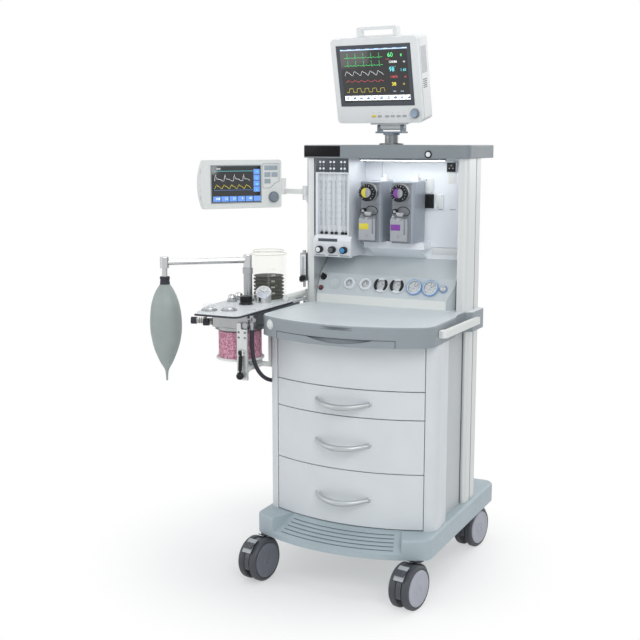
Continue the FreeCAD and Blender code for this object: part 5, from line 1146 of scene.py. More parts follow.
# ---------------------------------------------------------------- soft rubber
@dataclass
class BreathingBag:
    """Rubber bag hanging from the arm: a shell with a gathered neck, slack folds and a rolled cuff."""

    neck: tuple[float, float] = BAG_NECK
    bottom: float = 619.5
    top: float = 953.0
    radius: float = 54.5
    rings: int = 72
    sides: int = 72
    profile: tuple[tuple[float, float], ...] = (
        (0.0, 0.06), (0.05, 0.075), (0.10, 0.11), (0.135, 0.20), (0.18, 0.37), (0.25, 0.57), (0.35, 0.80),
        (0.49, 0.975), (0.63, 1.0), (0.79, 0.89), (0.89, 0.70), (0.95, 0.52), (1.0, 0.31))

    def width(self, share: float) -> float:
        """Radius, as a share of the widest, at a share of the height: a smooth curve through the profile."""
        knots = [self.profile[0]] + list(self.profile) + [self.profile[-1]]
        for i in range(1, len(knots) - 2):
            (s0, r0), (s1, r1), (s2, r2), (s3, r3) = knots[i - 1:i + 3]
            if share <= s2 or i == len(knots) - 3:
                t = (share - s1) / (s2 - s1)
                rise_in = (r2 - r0) / max(s2 - s0, 1e-6) * (s2 - s1)
                rise_out = (r3 - r1) / max(s3 - s1, 1e-6) * (s2 - s1)
                return ((2 * t ** 3 - 3 * t ** 2 + 1) * r1 + (t ** 3 - 2 * t ** 2 + t) * rise_in
                        + (3 * t ** 2 - 2 * t ** 3) * r2 + (t ** 3 - t ** 2) * rise_out)
        return self.profile[-1][1]

    def slack(self, share: float, angle: float) -> float:
        """How far the rubber sinks in, as a share of the radius."""
        gather = max(0.0, min(1.0, (share - 0.70) / 0.25))
        folds = 0.05 * gather * (0.5 + 0.5 * math.cos(9 * angle + 1.4 * math.sin(3.1 * share * math.pi)))
        foot = max(0.0, min(1.0, (0.40 - share) / 0.25))
        folds += 0.05 * foot * (0.5 + 0.5 * math.cos(7 * angle + 0.8 + 2.0 * share))
        swell = math.sin(math.pi * share)
        dents = 0.012 + 0.008 * math.sin(2 * angle + 5.2 * share)
        dents += 0.006 * math.sin(3 * angle - 8.0 * share + 1.1)
        crease = 0.016 * math.exp(-((share - 0.44) / 0.03) ** 2) * max(0.0, math.cos(angle + 1.9)) ** 4
        crease += 0.014 * math.exp(-((share - 0.63) / 0.03) ** 2) * max(0.0, math.cos(angle + 0.9)) ** 4
        return folds + dents * swell + crease

    def build(self) -> None:
        """The shell and the cuff round its neck."""
        shell = self.shell()
        seat = facing_up(self.neck[0], self.neck[1], self.bottom)
        Bench.settle(shell, "breathing_bag_shell", seat, BAG_RUBBER, "bag_arm", 60)
        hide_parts("breathing_bag")
        self.cuff(seat)

    def shell(self) -> bpy.types.Object:
        """Rings of vertices from a cylinder's wall, each pulled to the bag's width there."""
        Bench.clear()
        height = self.top - self.bottom
        bpy.ops.mesh.primitive_grid_add(x_subdivisions=self.sides, y_subdivisions=self.rings, size=2)
        obj = bpy.context.object
        for vertex in obj.data.vertices:
            angle = math.pi * (vertex.co.x + 1)
            share = min(1.0, max(0.0, (vertex.co.y + 1) / 2))
            r = self.radius * self.width(share) * (1 - self.slack(share, angle))
            flat = 1.0 - 0.03 * math.sin(math.pi * share)
            sway = 2.5 * math.sin(math.pi * share)
            vertex.co = (r * math.cos(angle) + sway * 0.4, r * math.sin(angle) * flat - sway * 0.3,
                         height * share)
        bpy.ops.object.mode_set(mode="EDIT")
        bpy.ops.mesh.select_all(action="SELECT")
        bpy.ops.mesh.remove_doubles(threshold=0.05)
        bpy.ops.mesh.select_all(action="DESELECT")
        bpy.ops.mesh.select_mode(type="EDGE")
        bpy.ops.mesh.select_non_manifold()
        bpy.ops.mesh.edge_face_add()
        bpy.ops.mesh.select_all(action="SELECT")
        bpy.ops.mesh.normals_make_consistent(inside=False)
        bpy.ops.object.mode_set(mode="OBJECT")
        return obj

    def cuff(self, seat: Seat) -> None:
        """Cuff round the neck, of three rolls."""
        height = self.top - self.bottom
        rolls = []
        for i, (z, r) in enumerate(((height - 1.0, 14.6), (height - 6.5, 14.9), (height - 12.0, 15.2))):
            loop = arc(r + 0.4, [a * math.pi / 24 for a in range(48)], z)
            rolls.append(Bench.wire(loop, 1.7 - 0.2 * i, closed=True, sides=3))
        Bench.settle(rolls, "breathing_bag_cuff", seat, BAG_RUBBER, "bag_arm", 60)


@dataclass
class Bellows:
    """Ventilator bellows: pleated rubber with its top disc, and the dome's edges and scale."""

    middle: tuple[float, float] = (-425.0, -92.0)
    foot: float = 884.3
    radius: float = 54.0
    height: float = 82.0
    folds: int = 6
    dome_radius: float = 64.0

    def build(self) -> None:
        """Pleats with the cap disc, the scale and the dome's edges."""
        seat = facing_up(*self.middle, self.foot)
        profile = [(self.radius - 13, 0.0), (self.radius - 6, 0.4)]
        pitch = (self.height - 6) / self.folds
        for i in range(self.folds):
            z = 1.2 + i * pitch
            profile += [(self.radius - 1.6, z + 0.18 * pitch), (self.radius - 0.3, z + 0.32 * pitch),
                        (self.radius - 0.3, z + 0.42 * pitch), (self.radius - 1.6, z + 0.56 * pitch),
                        (self.radius - 9.0, z + 0.80 * pitch), (self.radius - 10.0, z + 0.92 * pitch)]
        profile += [(self.radius - 4.0, self.height - 3.4), (self.radius - 1.6, self.height - 2.4),
                    (self.radius - 2.4, self.height - 0.6), (self.radius - 9.0, self.height - 0.2),
                    (self.radius - 12.0, self.height - 1.4), (14.0, self.height - 1.4),
                    (12.0, self.height - 0.2), (0.0, self.height - 0.2)]
        pleats = Bench.turned(profile, 96)
        Bench.settle(pleats, "bellows_pleats", seat, BLACK_RUBBER, smooth=50)
        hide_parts("bellows")
        self.scale()
        edges = [Bench.wire(arc(r, [a / 10 for a in range(63)], z), 0.7, closed=True)
                 for r, z in ((self.dome_radius - 0.2, 157.0), (self.dome_radius - 9.0, 168.2))]
        Bench.settle(edges, "bellows_dome_edges", seat, DOME_EDGE)

    def scale(self) -> None:
        """Graduated scale on the dome's wall, on the side the operator sees."""
        seat = facing_up(*self.middle, self.foot)
        r = self.dome_radius + 0.12
        marks = []
        for i in range(15):
            z = 22 + i * 7.0
            half = 4.6 if i % 3 == 0 else 2.6
            across = [math.radians(-62 + half * t) for t in (-1, -0.5, 0, 0.5, 1)]
            marks.append(Bench.wire(arc(r, across, z), 0.45))
        for i, words in enumerate(("300", "600", "900", "1200", "1500")):
            figure = Bench.figures(words, 9.0, 0, 0)
            turn = Matrix.Rotation(math.radians(28), 4, "Z") @ Matrix.Translation((0, -r, 24 + i * 21.0))
            figure.data.transform(turn @ Matrix.Rotation(math.radians(90), 4, "X"))
            figure.data.transform(Matrix.Rotation(math.radians(14), 4, "Z"))
            marks.append(figure)
        Bench.settle(marks, "bellows_dome_scale", seat, SCALE_WHITE)


# ---------------------------------------------------------------- gauges and console
@dataclass
class GaugeConsole:
    """Slanted console: six dials with bezels, the outlet's rings, a bare plate and the switches' trims."""

    low: tuple[float, float] = (-47.0, 906.0)
    high: tuple[float, float] = (-12.0, 976.0)
    level: float = 943.5
    dials: tuple[tuple[float, float, str], ...] = (
        (-138.0, 18.0, "plain"), (-77.5, 19.0, "plain"), (-19.6, 23.5, "crescent"), (39.3, 23.5, "crescent"),
        (101.0, 27.0, "blue"), (158.4, 28.0, "blue"))
    outlet_x: float = 204.0
    blank_x: float = -197.0
    selector: tuple[float, float] = (-243.0, 961.0)
    red_button: tuple[float, float] = (-246.0, 925.0)

    def seat(self, x: float, level: float, out: float = 0.0) -> Seat:
        """Seat on the slanted face, out millimetres off it."""
        (y0, z0), (y1, z1) = self.low, self.high
        share = (level - z0) / (z1 - z0)
        return Seat((x, y0 + (y1 - y0) * share, level), (1, 0, 0), (0, y1 - y0, z1 - z0)).moved(0, 0, out)

    @property
    def normal(self) -> Vector:
        """Outward normal of the slanted face."""
        (y0, z0), (y1, z1) = self.low, self.high
        return Vector((0.0, z0 - z1, y1 - y0)).normalized()

    def off(self, place: Vector) -> float:
        """How far a place stands off the slanted face."""
        return (place - Vector((0.0, *self.low))).dot(self.normal)

    def build(self) -> None:
        """All pieces of the console."""
        for i, (x, r, style) in enumerate(self.dials):
            self.dial(i + 1, self.seat(x, self.level), r, style)
        paint("gauges", LENS, lambda p, n: 6.2 < self.off(p) < 8.2 and abs(n.dot(self.normal)) > 0.9)
        paint("gauges", DIAL_FACE, lambda p, n: self.off(p) < 2.02)
        paint("gauges", PRINT_BLACK, lambda p, n: 2.02 < self.off(p) < 2.95)
        paint("gauge_console", LIGHT_MOULDING, lambda p, n: n.y < -0.95 and p.z < 910.0)
        self.outlet()
        self.plate()
        self.switches()

    def dial(self, number: int, seat: Seat, r: float, style: str) -> None:
        """One gauge: cone painted in a darker grey for the shade on the bezel's inner slope, bezel, scale
        with its figures and needle, and red arc.
        """
        bezel_finish = BEZEL_BLUE if style == "blue" else DIAL_WHITE
        grow = 0.3 if style == "blue" else 2.2
        bore, top = r - 0.4, r + grow
        bezel = Bench.turned([(top + 0.3, -0.3), (top + 0.6, 5.5), (top, 8.8), (top - 0.9, 9.9),
                              (top - 2.6, 9.9),
                              (top - 3.6, 9.2), (top - 3.9, 8.4), (bore, 4.0), (bore, -0.3)], 64)
        cone = Bench.turned([(r - 0.2, -0.3), (r - 0.2, 6.0), (top - 3.3, 9.1), (r - 5.2, 6.9),
                             (r - 5.2, 4.0),
                             (bore, 4.0), (bore, -0.3)], 64)
        # painted shade: the cone on the bezel's inner slope is darker than the white bezel
        Bench.settle(cone, "gauge_cone_%d" % number, seat, CONE_SHADE, smooth=40)
        Bench.settle(bezel, "gauge_bezel_%d" % number, seat, bezel_finish, smooth=40)
        inner = r - 5.4
        low, high = inner - 0.9, inner - 0.9 - 0.22 * inner
        long_tick = Bench.block((high, -0.42, 2.05), (low, 0.42, 2.3), 0.0)
        short_tick = Bench.block((0.5 * (low + high), -0.26, 2.05), (low, 0.26, 2.3), 0.0)
        needle = Bench.outline([(-0.3 * inner, -1.0), (0.86 * inner, -0.28), (0.86 * inner, 0.28),
                                (-0.3 * inner, 1.0)], 2.95, 3.5)
        ticks = [Bench.spread(long_tick, [(0, 0, 225 - i * 45.0) for i in range(7)]),
                 Bench.spread(short_tick, [(0, 0, 225 - i * 9.0) for i in range(31) if i % 5]),
                 Bench.wire(arc(inner - 0.2, [a / 8 for a in range(50)], 2.15), 0.34, closed=True),
                 Bench.shift(needle, turn=41.0)]
        spot = inner * 0.60
        for i, words in enumerate(("0", "2", "4", "6", "8", "10", "12")):
            a = math.radians(225 - i * 45.0)
            ticks.append(Bench.figures(words, 0.19 * inner + 1.0, spot * math.cos(a), spot * math.sin(a),
                                       2.15))
        Bench.settle(ticks, "gauge_scale_%d" % number, seat, PRINT_BLACK)
        sweep = arc(inner - 0.35, degrees(-45, 20, 5), 2.15)
        Bench.settle(Bench.wire(sweep, 0.33), "gauge_red_arc_%d" % number, seat, PRINT_RED)
        if style == "crescent":
            self.crescents(number, seat, top - 0.4)

    def crescents(self, number: int, seat: Seat, r: float) -> None:
        """Two black crescent grips, left and right of the dial, inside its bezel."""
        both = []
        for side in (0, 180):
            outer = arc(r + 0.2, degrees(-52, 53, 8))
            inner = [(0.5 + (r - 11.0) * math.cos(t), (r - 2.0) * math.sin(t)) for t in degrees(50, -51, -10)]
            both.append(Bench.shift(Bench.outline(outer + inner, 8.6, 11.0, 0.6), turn=side))
        Bench.settle(both, "gauge_grips_%d" % number, seat, DARK_PLASTIC)

    def outlet(self) -> None:
        """Steel lip inside a blue ring round the gas outlet."""
        seat = self.seat(self.outlet_x, self.level)
        ring = Bench.turned([(14.6, -0.3), (14.6, 1.6), (13.8, 2.4), (12.2, 2.4), (11.4, 1.6),
                             (11.4, -0.3)], 48)
        Bench.settle(ring, "outlet_ring", seat, BEZEL_BLUE)
        lip = Bench.turned([(8.6, -0.3), (9.2, 1.2), (8.0, 2.6), (6.0, 2.9), (4.9, 2.2), (4.6, 0.6),
                            (4.6, -6.0)], 40)
        Bench.settle(lip, "outlet_lip", seat.moved(0, 0, 8.0), STEEL)

    def plate(self) -> None:
        """Blank round cover left of the dials."""
        seat = self.seat(self.blank_x, self.level - 1)
        cover = Bench.turned([(21.0, -0.3), (21.0, 0.5), (20.2, 0.9), (19.2, 0.9), (18.6, 0.5),
                              (0.0, 0.5)], 56)
        Bench.settle(cover, "console_blank_cover", seat, CONSOLE_GREY)
        edge = arc(21.3, degrees(0, 360, 8), 0.1)
        Bench.settle(Bench.wire(edge, 0.45, closed=True), "console_blank_line", seat, RIM_SHADOW)

    def switches(self) -> None:
        """Ring and marks round the selector, and the red button's collar."""
        seat = self.seat(*self.selector)
        ring = Bench.turned([(13.6, -0.3), (13.6, 1.1), (13.0, 1.6), (12.2, 1.6), (11.9, 1.0),
                             (11.9, -0.3)], 48)
        Bench.settle(ring, "selector_surround", seat, DIAL_WHITE)
        button = self.seat(*self.red_button)
        collar = Bench.turned([(9.2, -0.3), (9.2, 1.8), (8.4, 2.6), (7.4, 2.6), (6.9, 2.0), (6.9, -0.3)], 40)
        Bench.settle(collar, "button_collar", button, DARK_PLASTIC)
        marks = [Bench.shift(Bench.block((-0.5, 15.0, 0.0), (0.5, 17.6, 0.25), 0.0), turn=t)
                 for t in (35, -10, -55)]
        Bench.settle(marks, "selector_marks", seat, PRINT_BLACK)


# ---------------------------------------------------------------- flowmeters
@dataclass
class FlowmeterBank:
    """Flowmeter block: dotted header, six graduated scales, bare strip and knob faces."""

    front: float = -78.0
    low_front: float = -88.0
    back_plane: float = -65.0
    tube_x: tuple[float, ...] = (-227.5, -210.0, -189.0, -172.5, -149.0, -135.5)
    knobs: tuple[tuple[float, str, str, Colour], ...] = (
        (-224.0, "white", "flow_knob_left", (0.80, 0.82, 0.84)),
        (-176.0, "grey", "flow_knob_middle", (0.10, 0.11, 0.12)),
        (-132.5, "blue", "flow_knob_right", (0.04, 0.28, 0.58)))
    knob_z: float = 1066.0

    def build(self) -> None:
        """All pieces of the bank."""
        self.header()
        self.scales()
        self.strip()
        for knob in self.knobs:
            self.knob(*knob)

    def header(self) -> None:
        """Dark header plate with groups of round marks."""
        seat = facing_front(0, self.front, 0)
        plate = Bench.block((-246.0, 1327.5, -0.4), (-123.0, 1374.8, 1.0), 0.6)
        Bench.settle(plate, "flowmeter_header", seat, HEADER_BLUE_BLACK)
        dots = []
        for x in (-229, -216, -190, -177, -150, -137):
            for row in range(2):
                dot = Bench.turned([(3.9, 0.9), (3.9, 1.4), (3.3, 1.7), (0.0, 1.7)], 20)
                dots.append(Bench.shift(dot, x, 1362 - row * 22))
                pip = Bench.turned([(1.2, 0.9), (1.2, 1.3), (0.0, 1.3)], 12)
                dots.append(Bench.shift(pip, x, 1351 - row * 22))
        Bench.settle(dots, "flowmeter_header_marks", seat, DIAL_WHITE)

    def scales(self) -> None:
        """Graduations and figures beside each tube, with the dark foot clamps."""
        seat = facing_front(0, self.back_plane, 0)
        marks = []
        heights = [1150 + i * 4.2 for i in range(36)]
        for long, chosen in ((6.4, heights[::5]), (4.0, [z for i, z in enumerate(heights) if i % 5])):
            tick = Bench.block((-long / 2, -0.6, 9.9), (long / 2, 0.6, 10.4), 0.0)
            marks.append(Bench.spread(tick, [(x, z, 0) for x in self.tube_x for z in chosen]))
        for i, z in enumerate(heights[::5]):
            figure = Bench.figures(str(i + 1), 5.6, 0, 0, 0.2, 0.12)
            marks.append(Bench.spread(figure, [(x + (7.4 if k % 2 else -7.4), z, 0)
                                               for k, x in enumerate(self.tube_x)]))
        foot = Bench.turned([(4.4, 0.0), (5.4, 0.8), (5.4, 7.0), (4.6, 8.0), (0.0, 8.0)], 20)
        feet = Bench.spread(foot, [(x, 0, 0) for x in self.tube_x])
        Bench.settle(marks, "flowmeter_scales", seat, SCALE_INK)
        Bench.settle(feet, "flowmeter_tube_feet", facing_up(0, -70.0, 1117.0), DARK_PLASTIC)

    def strip(self) -> None:
        """Bare dark strip over the knobs and a thin line under each of them."""
        seat = facing_front(0, self.low_front, 0)
        strip = Bench.block((-232.0, 1093.0, -0.3), (-160.0, 1103.0, 0.6), 0.4)
        Bench.settle(strip, "flowmeter_strip", seat, STRIP_BLUE_BLACK)
        pads = [Bench.block((x - 17, 1044.0, -0.3), (x + 17, 1047.0, 0.4), 0.2) for x, *_ in self.knobs]
        Bench.settle(pads, "flowmeter_knob_lines", seat, LINE_GREY)

    def knob(self, x: float, ink: str, body: str, colour: Colour) -> None:
        """Flutes and coloured face of one flow control knob."""
        seat = facing_front(x, self.low_front, self.knob_z)
        ribs = Bench.ring_of(Bench.block((-0.7, 11.2, 4.0), (0.7, 12.1, 18.6), 0.25), 20)
        Bench.settle(ribs, "flow_knob_flutes_" + ink, seat, DARK_PLASTIC, body)
        face = Bench.turned([(8.4, 19.6), (8.4, 20.5), (7.6, 20.9), (1.0, 20.7), (0.0, 20.7)], 32)
        cap = Finish("knob_face_" + ink, colour, "dark_plastic", 0.35, mottle=0.03, grain=0.04)
        Bench.settle(face, "flow_knob_face_" + ink, seat, cap, body)


# ---------------------------------------------------------------- vaporizers
@dataclass
class VaporizerTrim:
    """Everything fitted on one vaporizer's body, coloured by its agent's key."""

    side: str
    x: float
    key: Colour
    half: float = 39.0
    front: float = -58.0
    dial_z: float = 1262.0
    dial_front: float = -92.0

    @property
    def key_finish(self) -> Finish:
        """Finish in the colour of the agent's key."""
        return Finish("agent_key_" + self.side, self.key, "gauge_white", 0.4, grain=0.05)

    def build(self) -> None:
        """All trims of one vaporizer."""
        node = "vaporizer_" + self.side
        # painted shade: front-facing faces of the body below its top get the darker copy of the grey
        paint(node, VAPORIZER_FRONT_SHADE, lambda p, n: n.y < -0.75 and p.z < 1290)
        paint(node, FILLER_SILVER, lambda p, n: p.y < -59.0)
        paint(node, MONITOR_WHITE, lambda p, n: p.z > 1299.0)
        self.dial()
        self.label()
        self.filler()
        self.panels()

    def dial(self) -> None:
        """Black fluted ring with its marks, half-coloured face and grey grip."""
        body = "vaporizer_dial_" + self.side
        seat = facing_front(self.x, self.dial_front, self.dial_z)
        ring = Bench.turned([(29.6, -31.0), (29.6, -24.0), (28.4, -22.6), (28.4, -0.8), (27.6, 0.4),
                             (16.6, 0.8), (16.0, 0.2), (16.0, -2.0)], 72)
        Bench.settle(ring, "vaporizer_dial_ring_" + self.side, seat, DARK_PLASTIC, body, 30)
        flutes = Bench.ring_of(Bench.block((-0.85, 28.2, -21.5), (0.85, 29.2, -1.6), 0.35), 40)
        Bench.settle(flutes, "vaporizer_dial_flutes_" + self.side, seat, DARK_PLASTIC, body)
        long_tick = Bench.block((-0.55, 21.5, 0.4), (0.55, 26.9, 0.9), 0.0)
        short_tick = Bench.block((-0.4, 24.4, 0.4), (0.4, 26.9, 0.9), 0.0)
        marks = [Bench.spread(long_tick, [(0, 0, 140 - i * 40.0) for i in range(8)]),
                 Bench.spread(short_tick, [(0, 0, 120 - i * 20.0) for i in range(13)])]
        Bench.settle(marks, "vaporizer_dial_figures_" + self.side, seat, DIAL_WHITE, body)
        half = Bench.outline(arc(15.9, degrees(82, 279, 14)), -1.6, 7.7, 0.6)
        Bench.settle(half, "vaporizer_dial_key_" + self.side, seat, self.key_finish, body)
        other = Bench.outline(arc(15.9, degrees(-82, 83, 12)), -1.6, 7.5, 0.6)
        Bench.settle(other, "vaporizer_dial_face_" + self.side, seat, GRIP_GREY, body)
        grip = [(3.6 + 3.2 * math.cos(a), 13.0 * math.sin(a)) for a in degrees(0, 360, 15)]
        hub = Bench.outline(grip, 7.0, 12.0, 1.8)
        Bench.settle(hub, "vaporizer_dial_grip_" + self.side, seat, GRIP_GREY, body)

    def label(self) -> None:
        """Bare coloured label on the filler block."""
        seat = facing_front(self.x, -76.0, 0)
        plate = Bench.block((-self.half + 6.0, 1138.0, -0.3), (-self.half + 40.0, 1158.0, 0.6), 0.3)
        Bench.settle(plate, "vaporizer_label_" + self.side, seat, self.key_finish)

    def filler(self) -> None:
        """Sight glass, drain screw, cap ring and wedge of the filler block."""
        seat = facing_front(self.x - self.half + 34.0, -76.0, 1102.0)
        window = Bench.block((18.0, 22.0, -0.4), (24.0, 74.0, 0.5), 0.8)
        Bench.settle(window, "vaporizer_sight_glass_" + self.side, seat, SIGHT_GLASS)
        screw = Bench.shift(Bench.screw(4.6), -2.0, 18.0)
        Bench.settle(screw, "vaporizer_drain_" + self.side, seat, SATIN_STEEL)
        cap = facing_front(self.x - 23.0, -70.0, 1200.0)
        ring = Bench.turned([(9.2, -10.0), (9.2, -1.6), (8.4, 0.4), (5.4, 0.8), (5.0, 0.0), (4.6, -1.0),
                             (0.0, -1.0)], 32)
        Bench.settle(ring, "vaporizer_cap_" + self.side, cap, DARK_PLASTIC)
        wedge = Bench.outline([(-9.0, -13.0), (9.0, -13.0), (15.0, 0.0), (-15.0, 0.0)], -0.3, 5.0, 1.0)
        Bench.settle(Bench.shift(wedge, 6.0, 96.0), "vaporizer_wedge_" + self.side, seat, SATIN_STEEL)

    def panels(self) -> None:
        """Joint lines of the cast body and the dark strap that keeps the filler cap."""
        seat = facing_front(self.x, self.front, 0)
        lines = [Bench.block((-self.half + 2, z - 0.4, -0.3), (self.half - 2, z + 0.4, 0.25), 0.0)
                 for z in (1222.0, 1290.0)]
        Bench.settle(lines, "vaporizer_lines_" + self.side, seat, LINE_DARK)
        loop = [(-16, 1203, 8), (-8, 1212, 13), (4, 1217, 15), (18, 1216, 14), (28, 1209, 12), (32, 1200, 11),
                (29, 1191, 13), (20, 1187, 17), (8, 1187, 19)]
        Bench.settle(Bench.smooth_wire([(x, z, y) for x, z, y in loop], 1.5), "vaporizer_strap_" + self.side,
                     seat, DARK_PLASTIC)


# ---------------------------------------------------------------- instrument bay and shelf
@dataclass
class InstrumentBay:
    """Bay's small fittings: wall covers, slots and seams, the lamp's diffuser, switch and bare plate."""

    wall_y: float = 64.0
    shelf_front: float = -81.0
    shelf_z: float = 1376.0

    def build(self) -> None:
        """All pieces of the bay and the shelf over it."""
        self.covers()
        self.seams()
        self.shelf()
        self.diffuser()

    def covers(self) -> None:
        """Dark socket and meter faces, the white housings beside them and their screws."""
        wall = facing_front(0, self.wall_y, 0)
        socket = Bench.block((178.5, 1329.5, 9.4), (209.5, 1360.5, 11.2), 1.6)
        socket_pins = Bench.spread(Bench.turned([(2.0, 11.0), (2.0, 11.5), (0.0, 11.5)], 12),
                                   [(188, 1342, 0), (200, 1342, 0), (194, 1351, 0)])
        Bench.settle(socket, "wall_socket_face", wall, DARK_PLASTIC)
        Bench.settle(socket_pins, "wall_socket_pins", wall, STEEL)
        cover = Bench.block((104.6, 1207.0, 15.2), (137.4, 1255.0, 17.6), 1.4)
        Bench.settle(cover, "wall_meter_face", wall, DARK_PLASTIC)
        ribs = [Bench.block((108.0, 1212.0 + i * 6.2, 17.4), (134.0, 1214.6 + i * 6.2, 18.4), 0.5)
                for i in range(7)]
        Bench.settle(ribs, "wall_meter_ribs", wall, DARK_PLASTIC)
        rim = Bench.block((102.0, 1258.0, 4.2), (128.0, 1305.0, 6.4), 1.2)
        Bench.settle(rim, "wall_meter_bracket", wall, MONITOR_WHITE)
        lid = Bench.block((146.0, 1207.0, 8.2), (166.0, 1253.0, 10.0), 1.4)
        Bench.settle(lid, "wall_cover", wall, MONITOR_WHITE)
        screws = [Bench.shift(Bench.screw(2.0), x, z, h) for x, z, h in
                  ((149.0, 1211.0, 10.0), (163.0, 1249.0, 10.0), (105.5, 1302.0, 6.4), (124.5, 1261.0, 6.4))]
        Bench.settle(screws, "wall_screws", wall, SATIN_STEEL)

    def seams(self) -> None:
        """Joint lines, vent slots and the blank data plate of the rear panel."""
        wall = facing_front(0, self.wall_y, 0)
        lines = [Bench.block((-60.6, 1296.0, -0.2), (-59.8, 1375.0, 0.3), 0.0),
                 Bench.block((-118.0, 1073.4, -0.2), (254.0, 1074.4, 0.3), 0.0)]
        lines += [Bench.block((x, 1202.6, -0.2), (x + w, 1204.2, 0.5), 0.0) for x, w in
                  ((148.0, 15.0), (188.0, 22.0), (188.0, 8.0))]
        Bench.settle(lines, "wall_seams", wall, SEAM_SHADOW)
        strip = Bench.block((128.0, 1050.0, -0.2), (256.0, 1072.0, 3.6), 1.2)
        Bench.settle(strip, "wall_lower_strip", wall, MONITOR_WHITE)
        plate = Bench.block((182.0, 1290.0, -0.2), (206.0, 1322.0, 0.45), 0.2)
        Bench.settle(plate, "wall_data_plate", wall, LIGHT_MOULDING)

    def shelf(self) -> None:
        """Bare plate at the shelf's left end and the ring round the lamp switch."""
        front = facing_front(0, self.shelf_front, 0)
        plate = Bench.block((-289.0, 1380.0, -0.4), (-154.0, 1416.0, 1.3), 0.9)
        Bench.settle(plate, "shelf_plate", front, PLATE_BLACK)
        ring = Bench.turned([(12.6, -0.4), (12.6, 1.4), (11.8, 2.2), (9.2, 2.2), (8.5, 1.4), (8.5, -0.4)], 48)
        Bench.settle(Bench.shift(ring, 162.0, 1389.0), "lamp_switch_surround", front, DARK_PLASTIC)

    def diffuser(self) -> None:
        """Glowing prism sheet on the lamp under the shelf."""
        under = Seat((50.0, -28.0, self.shelf_z - 8.0), (1, 0, 0), (0, -1, 0))
        ribs = [Bench.block((-146.0, -11.4 + i * 2.9, -0.3), (146.0, -9.6 + i * 2.9, 0.8), 0.4)
                for i in range(8)]
        Bench.settle(ribs, "lamp_diffuser_ribs", under, LAMP_GLOW)


@dataclass
class BaseTrim:
    """Painted shadow lines in the grooves of the step's non-slip ribs, painted shade on the side panels with
    shadow lines at their ends, and the rear panel's screws.
    """

    bow: float = 620.0
    front: float = 481.0
    top: float = 210.0
    depth: float = 88.0
    drop: float = 46.0
    ribs: int = 5
    pitch: float = 14.5
    panel_x: float = 273.0
    panel_y: tuple[float, float] = (-206.0, -24.0)
    panel_z: tuple[float, float] = (212.0, 800.0)

    def build(self) -> None:
        """Groove shadow lines, side panels with their painted shade, and screws."""
        grooves = []
        for i in range(self.ribs):
            r = self.bow - self.depth + 9.0 + i * self.pitch + 7.2
            z = self.top - 3.0 - (r - self.bow + self.depth) * self.drop / self.depth + 0.5
            sweep = [math.radians(-19.0 + 38.0 * k / 30) for k in range(31)]
            line = [(r * math.sin(a), self.bow - self.front - r * math.cos(a), z) for a in sweep]
            grooves.append(Bench.wire(line, 1.1))
        # painted shadow: dark wires laid in the grooves between the step's ribs
        Bench.settle(grooves, "base_step_groove_shadows", FLOOR, GROOVE_SHADOW)
        self.side_panels()
        back = Seat((0.0, 72.0, 0.0), (-1, 0, 0), (0, 0, 1))
        places = [(x, z, 0.0) for x in (-240.0, 240.0) for z in (910.0, 1040.0, 1180.0, 1350.0)]
        Bench.settle(Bench.spread(Bench.screw(4.0), places), "rear_panel_screws", back, SATIN_STEEL)

    def side_panels(self) -> None:
        """Painted shade: the recessed panels between pillars and columns get a darker grey for the shade in
        the recess, and dark shadow lines stand at their ends.
        """
        # painted shade: the recessed side faces between pillars and columns are painted darker
        paint("cabinet_shell", PANEL_SHADE, lambda p, n: abs(n.x) > 0.9 and abs(abs(p.x) - self.panel_x) < 0.6)
        low, high = self.panel_z
        # painted shadow: dark lines in the corners at the recessed panels' ends
        shadow_lines = [Bench.wire([(side * (self.panel_x + 0.3), y, low), (side * (self.panel_x + 0.3), y, high)],
                             1.3) for side in (-1, 1) for y in (self.panel_y[0] + 1.2, self.panel_y[1] - 1.5)]
        Bench.settle(shadow_lines, "cabinet_side_joint_shadows", FLOOR, JOINT_SHADOW)


